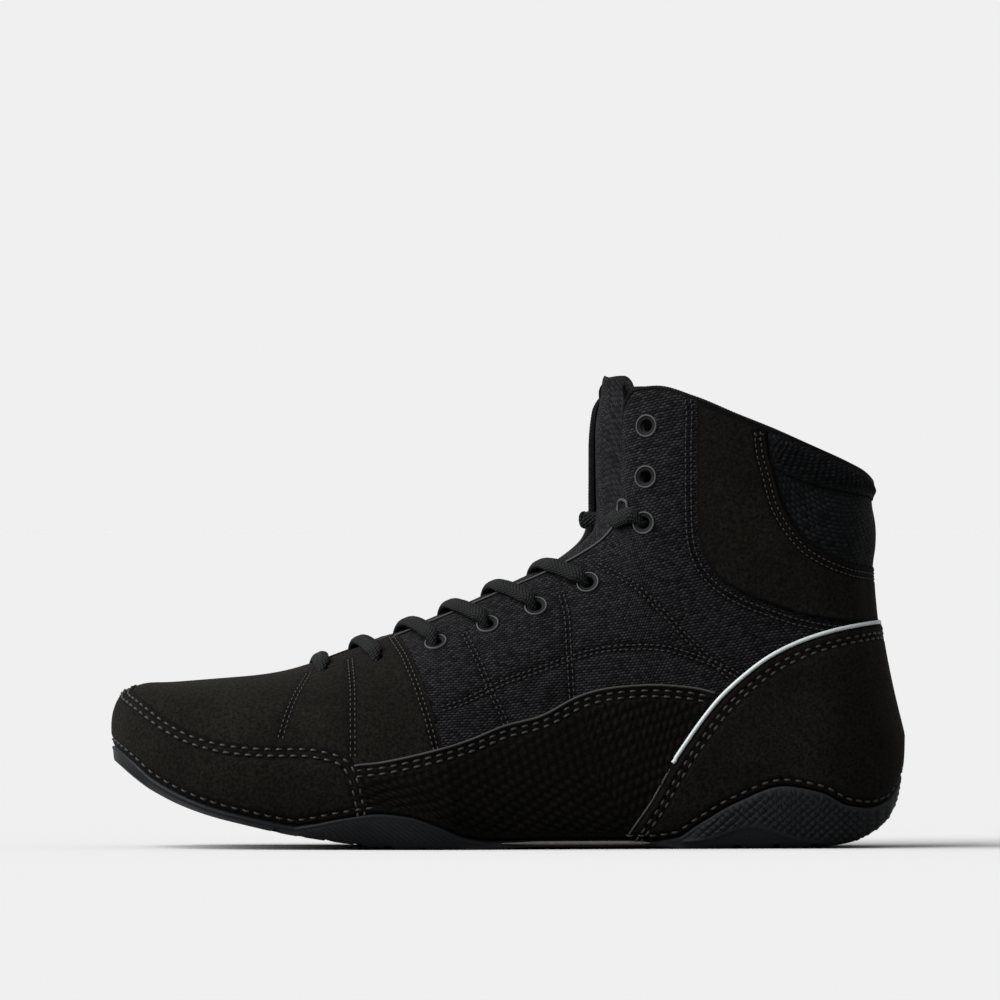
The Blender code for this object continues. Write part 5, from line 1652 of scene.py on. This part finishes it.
@dataclass
class Outsole:
    """The cupped rubber sole with its pressed waves, lip, ribs and lugs."""

    last: Last
    wardrobe: Wardrobe
    wall: float = 0.0017
    tuck: float = 0.0048
    groove_width: float = 0.0024
    groove_depth: float = 0.0012
    grooves: tuple[float, ...] = (0.190, 0.222, 0.256, 0.292, 0.330, 0.372, 0.775, 0.825, 0.872)
    columns: int = 560
    side_rows: int = 34
    cup_rows: int = 8
    bottom_rows: int = 14
    cell: float = 0.0034
    relief_depth: float = 0.00080
    strip_from: float = 0.485
    strip_to: float = 0.675
    strip_height: float = 0.0019

    def half(self, sign: int, along: Array) -> tuple[Array, Array, Array, Array]:
        """Return one side's wall, cup and foot, toe to heel, and how much painted shade the wall gets."""
        turn = np.arccos(1 - 2 * along) / np.pi * sign
        brim = self.last.brim(turn)
        rim = self.last.skin(turn, brim, self.last.sole_gap + self.wall)
        inward = self.last.inward(turn)
        foot = self.last.skin(turn, np.zeros(len(turn)))
        foot[:, :2] += inward * (self.last.tuck(along) * self.tuck - self.wall)[:, None]
        x = foot[:, 0] - self.last.shift[0]
        foot[:, 2] = self.last.under(x)
        knee = rim + (foot - rim) * 0.12
        knee[:, 2] = foot[:, 2] + 0.22 * (rim[:, 2] - foot[:, 2])
        t = np.linspace(0, 1, self.side_rows)[None, :, None]
        side = rim[:, None] * (1 - t) ** 2 + knee[:, None] * 2 * t * (1 - t) + foot[:, None] * t * t
        # pressed holds how much painted shade each point of the wall gets.
        side, pressed = self.press(side, sign)
        share = np.linspace(0, 1, self.cup_rows)[None, :]
        rows = brim[:, None] + (-1.0 - brim[:, None]) * share
        cup = self.last.skin(np.broadcast_to(turn[:, None], rows.shape), rows, self.last.sole_gap)
        return side, cup, foot, pressed

    def press(self, side: Array, sign: int) -> tuple[Array, Array]:
        """Press the wave patterns into the side wall.

        Args:
            side: The wall's points, columns of rows from the rim down.
            sign: The side of the shoe.

        Returns:
            The wall with its patterns, and how much painted shade each point gets, from 0 to 1.
        """
        run, down = np.gradient(side, axis=0), np.gradient(side, axis=1)
        out = unit(np.cross(run, down)) * (-sign)
        middle = out[len(out) // 2, 3]
        if middle[1] * sign > 0:
            out = -out
        steps = np.linalg.norm(np.diff(side, axis=1), axis=2)
        drop = np.concatenate((np.zeros((len(side), 1)), np.cumsum(steps, axis=1)), axis=1)
        x = side[..., 0] - self.last.shift[0]
        z = side[..., 2]
        along = x / self.last.length
        total = drop[:, -1:]
        a, b = x / self.cell, z / self.cell
        diamonds = 1 - ease(0.33, 0.47, np.abs(np.mod(a + 1.15 * b, 1) - 0.5))
        diamonds = diamonds * (1 - ease(0.33, 0.47, np.abs(np.mod(a - 1.15 * b, 1) - 0.5)))
        arc = 0.0022 + 0.0057 * np.exp(-(((along - 0.80) / 0.047) ** 2))
        arc = arc - 0.001 * ease(0.88, 0.95, along)
        heel = ease(0.715, 0.745, along) * ease(-0.0004, 0.0006, z - arc - 0.0006)
        heel = heel * ease(0.0008, 0.0018, drop)
        ribs = 0.5 + 0.5 * np.cos(2 * np.pi * z / 0.0021)
        dashes = ease(0.2, 0.5, np.abs(np.mod(x / 0.0036 + 0.5, 1) - 0.5) * 2)
        back = ease(0.925, 0.955, along)
        pattern = (diamonds * (1 - back) + 0.4 * ribs * dashes * back) * heel
        ridge = np.exp(-(((z - arc) / 0.0007) ** 2))
        ridge = ridge * ease(0.70, 0.73, along) * (1 - ease(0.90, 0.93, along))
        front = ease(0.15, 0.20, along) * (1 - ease(0.45, 0.49, along)) * ease(0.001, 0.002, drop)
        front = front * ease(0.0002, 0.0012, total - drop - 0.0018)
        slanted = 0.5 + 0.5 * np.cos(2 * np.pi * (x + 1.4 * z) / 0.0023)
        lift = self.relief_depth * pattern + 0.0006 * ridge + 0.00040 * slanted * front
        # Painted shade in the low parts between the raised diamonds, ribs and slanted lines.
        between = (1 - diamonds * (1 - back) - ribs * dashes * back) * heel
        pressed = np.maximum(between, (1 - slanted) * front) * 0.9
        # Painted shade growing toward the wall's foot, where the sole turns under.
        shade = 1 - ease(0.0005, 0.0045, total - drop)
        pressed = np.maximum(pressed, 0.9 * shade)
        # Darker by half over the front half of the wall, fading out by two thirds of its length.
        pressed = np.maximum(pressed, 0.5 * (1 - ease(0.55, 0.68, along)))
        # Painted shade in the recess under the heel's arc.
        below = 1 - ease(-0.0012, -0.0004, z - arc)
        pressed = np.maximum(pressed, 0.5 * ease(0.68, 0.72, along) * below)
        lip = np.exp(-(((drop - 0.0006) / 0.0007) ** 2))
        lift = lift + 0.00035 * lip * (1 - ease(0.45, 0.5, along) * (1 - ease(0.68, 0.72, along)))
        return side + out * (lift * ease(0.0, 0.0012, total - drop))[..., None], pressed

    def tread(self, points: Array) -> Array:
        """Cut the cross grooves into the bottom."""
        x, y = points[..., 0] - self.last.shift[0], points[..., 1] - self.last.shift[1]
        depth = np.zeros(x.shape)
        for along in self.grooves:
            middle = along * self.last.length - math.tan(0.06) * y
            far = np.abs(x - middle)
            depth = np.maximum(depth, 1 - ease(0.35, 0.62, far / self.groove_width))
        points = points.copy()
        points[..., 2] += self.groove_depth * depth
        return points

    def build(self) -> None:
        """Build the sole."""
        turns = np.linspace(0, 1, 3000)
        outline = self.last.outline(turns)
        at = resample(turns[:, None], self.columns, np.hstack((outline, np.zeros((3000, 1)))))[:, 0]
        along = (1 - np.cos(np.pi * at)) / 2
        along[0], along[-1] = 0.0, 1.0
        near, near_cup, near_foot, near_shade = self.half(1, along)
        far, far_cup, far_foot, far_shade = self.half(-1, along)
        share = np.linspace(0, 1, 2 * self.bottom_rows)[None, 1:-1, None]
        bottom = near_foot[:, None] + (far_foot - near_foot)[:, None] * share
        bottom[..., 2] = self.last.under(bottom[..., 0] - self.last.shift[0])
        bottom = self.tread(bottom)
        near[:, -4:], far[:, -4:] = self.tread(near[:, -4:]), self.tread(far[:, -4:])
        floor_share = np.linspace(0, 1, 10)[None, 1:-1, None]
        floor = far_cup[:, -1][:, None] + (near_cup[:, -1] - far_cup[:, -1])[:, None] * floor_share
        loops = np.concatenate((near, bottom, far[:, ::-1], far_cup, floor, near_cup[:, ::-1]), axis=1)
        n, count = loops.shape[:2]
        # Painted shade of the side walls, which the rubber's colour is darkened by.
        painted_shade = np.zeros((n, count))
        painted_shade[:, : self.side_rows] = near_shade
        first = self.side_rows + bottom.shape[1]
        painted_shade[:, first : first + self.side_rows] = far_shade[:, ::-1]
        faces = []
        for j in range(count):
            k = (j + 1) % count
            a = np.arange(n - 1) * count
            faces += np.stack((a + j, a + count + j, a + count + k, a + k), axis=1).tolist()
        piece = make_mesh("rubber_sole", loops, faces, cloth_places(loops), weld=2e-6, painted_shade=painted_shade)
        link(piece, "rubber", [self.wardrobe.rubber], "outsole")
        for side, wall in zip(Side, (near, far)):
            x = (wall[:, -1, 0] - self.last.shift[0]) / self.last.length
            wall = wall[(x > self.strip_from) & (x < self.strip_to)][:, ::-1]
            run = np.array(
                [[np.interp(self.strip_height, rows[:, 2], rows[:, k]) for k in range(3)] for rows in wall]
            )
            thinning = np.minimum(np.linspace(0, 3, len(run)), np.linspace(12, 0, len(run)))
            slim = 0.0008 * np.minimum(1.0, thinning + 0.25)
            strip = tube(f"arch_strip_{side.word}", run, np.array((0.0, 0.0, 1.0)), 0.0007, slim, 8)
            link(strip, "rubber", [self.wardrobe.strip])
        LOG.info("rubber_sole: %d faces", len(piece.data.polygons))


@dataclass
class Lacing:
    """The eyelet rings and the lace that runs through them."""

    last: Last
    wardrobe: Wardrobe
    eyelets: Array
    ring_radius: float = 0.00415
    bore: float = 0.0021
    width: float = 0.0060
    thickness: float = 0.0031
    lean: float = 0.38
    arch: float = 0.0026
    turn_in: tuple[tuple[float, float], ...] = (
        (0.0013, 0.0008), (0.0016, -0.0014), (0.0006, -0.0036), (-0.0010, -0.0052),
    )
    laced_pairs: int = 7
    entry_shift: float = 0.0010

    def spot(self, number: int, sign: int, out: float = 0.0) -> tuple[Array, Array]:
        """Return an eyelet's place and the direction out of it."""
        turn, row = self.eyelets[number] * np.array((sign, 1.0))
        return self.last.skin(turn, row, out), self.last.normal(turn, row)

    def entry(self, number: int, sign: int) -> tuple[Array, Array]:
        """Return where the lace goes into an eyelet, at the hole's toe side, and the direction out."""
        spot, out = self.spot(number, sign)
        toeward = np.array((-1.0, 0.0, 0.0))
        return spot + self.entry_shift * unit(toeward - out * (toeward @ out)), out

    def build_rings(self) -> None:
        """Build a ring round each eyelet above the punched pairs."""
        r, b = self.ring_radius, self.bore
        profile = (
            (b, -0.0016), (b, 0.0002), (b + 0.0002, 0.00060), (b + 0.0006, 0.00078), (r - 0.00075, 0.00070),
            (r - 0.00055, 0.00095), (r - 0.00030, 0.00105), (r - 0.00008, 0.00090), (r, 0.00045), (r, -0.0001),
        )
        sides = 40
        angle = np.arange(sides) * 2 * np.pi / sides
        for number in range(PUNCHED_PAIRS, len(self.eyelets)):
            for side in Side:
                spot, out = self.spot(number, side.value)
                turned = Vector(out.tolist()).to_track_quat("Z", "Y").to_matrix()
                flat = np.array([[(q * math.cos(a), q * math.sin(a), h) for q, h in profile] for a in angle])
                points = flat @ np.array(turned).T + spot
                count = len(profile)
                faces, edge = [], []
                for k in range(sides):
                    n = (k + 1) % sides
                    for j in range(count):
                        m = (j + 1) % count
                        faces.append((k * count + j, n * count + j, n * count + m, k * count + m))
                        edge.append(1 if 5 <= j <= 7 else 0)
                ring = make_mesh(f"eyelet_ring_{side.node}_{number + 1}", points, faces)
                ring.data.polygons.foreach_set("material_index", edge)
                finishes = [self.wardrobe.ring, self.wardrobe.ring_edge]
                link(ring, "eyelet_ring", finishes, f"eyelet_{side.node}_{number + 1}")

    def band(self, name: str, path: Array, ups: Array, nodes: Sequence[str], tucked: Sequence[bool]) -> None:
        """Build one visible run of lace.

        Args:
            name: The piece's name.
            path: Points along its middle.
            ups: The direction out at each point.
            nodes: The solids that it stands for.
            tucked: Whether each end goes into an eyelet, and so narrows.
        """
        count = 130
        both = smooth_path(np.hstack((path, ups)), count)
        both = resample(both, count, both[:, :3])
        at = np.linspace(0, np.linalg.norm(np.diff(both[:, :3], axis=0), axis=1).sum(), count)
        slim = np.zeros(count)
        if tucked[0]:
            slim = np.maximum(slim, 1 - ease(0.0036, 0.0092, at))
        if tucked[1]:
            slim = np.maximum(slim, 1 - ease(0.0036, 0.0092, at[-1] - at))
        half_width = self.width / 2 * (1 - 0.54 * slim)
        half_height = self.thickness / 2 * (1 - 0.10 * slim)

        def plait(along: Array, angle: Array) -> Array:
            phase = 2 * np.pi * along / 0.00155
            return 0.00009 * np.cos(phase + 3 * angle) + 0.00005 * np.cos(phase - 3 * angle)

        piece = tube(name, both[:, :3], unit(both[:, 3:]), half_width, half_height, 20, plait)
        link(piece, "lace", [self.wardrobe.lace], *nodes)

    def strand(self, number: int, sign: int) -> tuple[Array, Array]:
        """Return a strand's path from its eyelet to under the other side, one pair lower."""
        turn, row = self.eyelets[number] * np.array((sign, 1.0))
        over = LACE_OVER[number]
        far = over + (LACE_OVER[number - 1] - over) * self.lean
        over_turn, far_turn = self.last.turn_of(over) * sign, -self.last.turn_of(far) * sign
        lift = 0.0009 + self.thickness / 2
        path, ups = [], []
        hole, out = self.entry(number, sign)
        path += [hole - out * 0.0042, hole - out * 0.0006]
        ups += [out, out]
        for t, high in ((0.22, 0.9), (0.45, 1.0), (0.72, 1.0), (1.0, 0.95)):
            at, up_row = turn + (over_turn - turn) * t, row + (1 - row) * t
            path.append(self.last.skin(at, up_row, lift * high))
            ups.append(self.last.normal(at, up_row))
        if number == self.laced_pairs - 1:
            for room, deep in self.turn_in:
                path.append(self.last.skin(over_turn, 1.0, deep) - np.array((room, 0.0, 0.0)))
                ups.append(unit(ups[-1] - np.array((0.5, 0.0, 0.0))))
            return np.array(path), np.array(ups)
        near_edge = path[-1]
        far_edge = self.last.skin(far_turn, 1.0, -0.0045)
        crown = unit(ups[-1] + self.last.normal(far_turn, 1.0))
        cross = 0.0011 * sign
        for t in (0.2, 0.42, 0.64, 0.84, 1.0):
            arch = self.arch * 4 * t * (1 - t) + cross * math.sin(math.pi * t)
            path.append(near_edge + (far_edge - near_edge) * t + crown * arch)
            ups.append(crown)
        beyond = self.last.skin(-self.last.turn_of(far) * sign, 0.90, -0.0052)
        path.append(beyond)
        ups.append(self.last.normal(far_turn, 0.90))
        return np.array(path), np.array(ups)

    def build_lace(self) -> None:
        """Build the lowest bar and the crossing strands above it."""
        halves = []
        for sign in (1, -1):
            hole, out = self.entry(0, sign)
            turn, row = self.eyelets[0] * np.array((sign, 1.0))
            path, ups = [hole - out * 0.0042, hole - out * 0.0006], [out, out]
            for t in (0.25, 0.6, 1.0):
                at = row + (1 - row) * t
                path.append(self.last.skin(turn, at, 0.0009 + self.thickness / 2))
                ups.append(self.last.normal(turn, at))
            halves.append((path, ups))
        path = np.array([*halves[0][0], *halves[1][0][::-1]])
        ups = np.array([*halves[0][1], *halves[1][1][::-1]])
        self.band("lace_lowest_bar", path, ups, ("lace_bar",), (True, True))
        for number in range(1, self.laced_pairs):
            for side in Side:
                path, ups = self.strand(number, side.value)
                nodes = (f"lace_crossing_{number}",) if side is Side.OUTER else ()
                self.band(f"lace_strand_{number}_{side.word}", path, ups, nodes, (True, False))

    def build(self) -> None:
        """Build the rings and the lace."""
        self.build_rings()
        self.build_lace()
        LOG.info("lacing built")


@dataclass
class Studio:
    """The pale floor and the soft lights."""

    backdrop: float = 0.87
    sun_power: float = 12.0
    sun_from: tuple[float, float, float] = (-0.72, -0.26, 0.66)
    sun_spread: float = math.radians(60)

    def build(self) -> None:
        """Build the floor, the lights and the world."""
        graph = Graph("pale_floor")
        source = unit(np.array(self.sun_from))
        tone = self.backdrop / (self.backdrop + self.sun_power * source[2] / math.pi)
        graph.set(Base_Color=(tone,) * 3 + (1.0,), Roughness=0.95, Specular_IOR_Level=0.0)
        bpy.ops.mesh.primitive_circle_add(
            vertices=96, radius=60.0, fill_type="NGON", location=(0, 0, -0.0002)
        )
        floor = bpy.context.object
        floor.name = "floor"
        floor.data.materials.append(graph.material)
        world = bpy.data.worlds.new("studio")
        bpy.context.scene.world = world
        world.use_nodes = True
        world.node_tree.nodes["Background"].inputs[0].default_value = (self.backdrop,) * 3 + (1.0,)
        data = bpy.data.lights.new("soft_sun", "SUN")
        data.energy, data.angle = self.sun_power, self.sun_spread
        lamp = bpy.data.objects.new("soft_sun", data)
        lamp.rotation_euler = Vector(source.tolist()).to_track_quat("Z", "Y").to_euler()
        bpy.context.scene.collection.objects.link(lamp)
        bpy.context.scene.view_settings.view_transform = "Standard"


def corners(box: tuple[Vector, Vector]) -> list[list[float]]:
    """Return a box's two corners as plain lists."""
    return [list(corner) for corner in box]


def main() -> None:
    """Load the frame and build every sub-assembly in order."""
    logging.basicConfig(level=logging.INFO, format="%(message)s")
    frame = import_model()
    LOG.info("%d nodes loaded", len(frame["nodes"]))
    view, last, wardrobe = View(), Last(), Wardrobe()
    view.build()
    thread = Thread(last)
    upper = Upper(last, view, thread, wardrobe)
    upper.build()
    Tongue(last, wardrobe).build()
    Insole(last, wardrobe).build()
    Outsole(last, wardrobe).build()
    Lacing(last, wardrobe, upper.eyelets).build()
    thread.finish("seam_stitches", wardrobe.thread, "suede")
    thread.finish("edge_stitches", wardrobe.thread, "suede")
    thread.finish("quilt_stitches", wardrobe.quilt_thread, "knit")
    Studio().build()


if __name__ == "__main__":
    main()
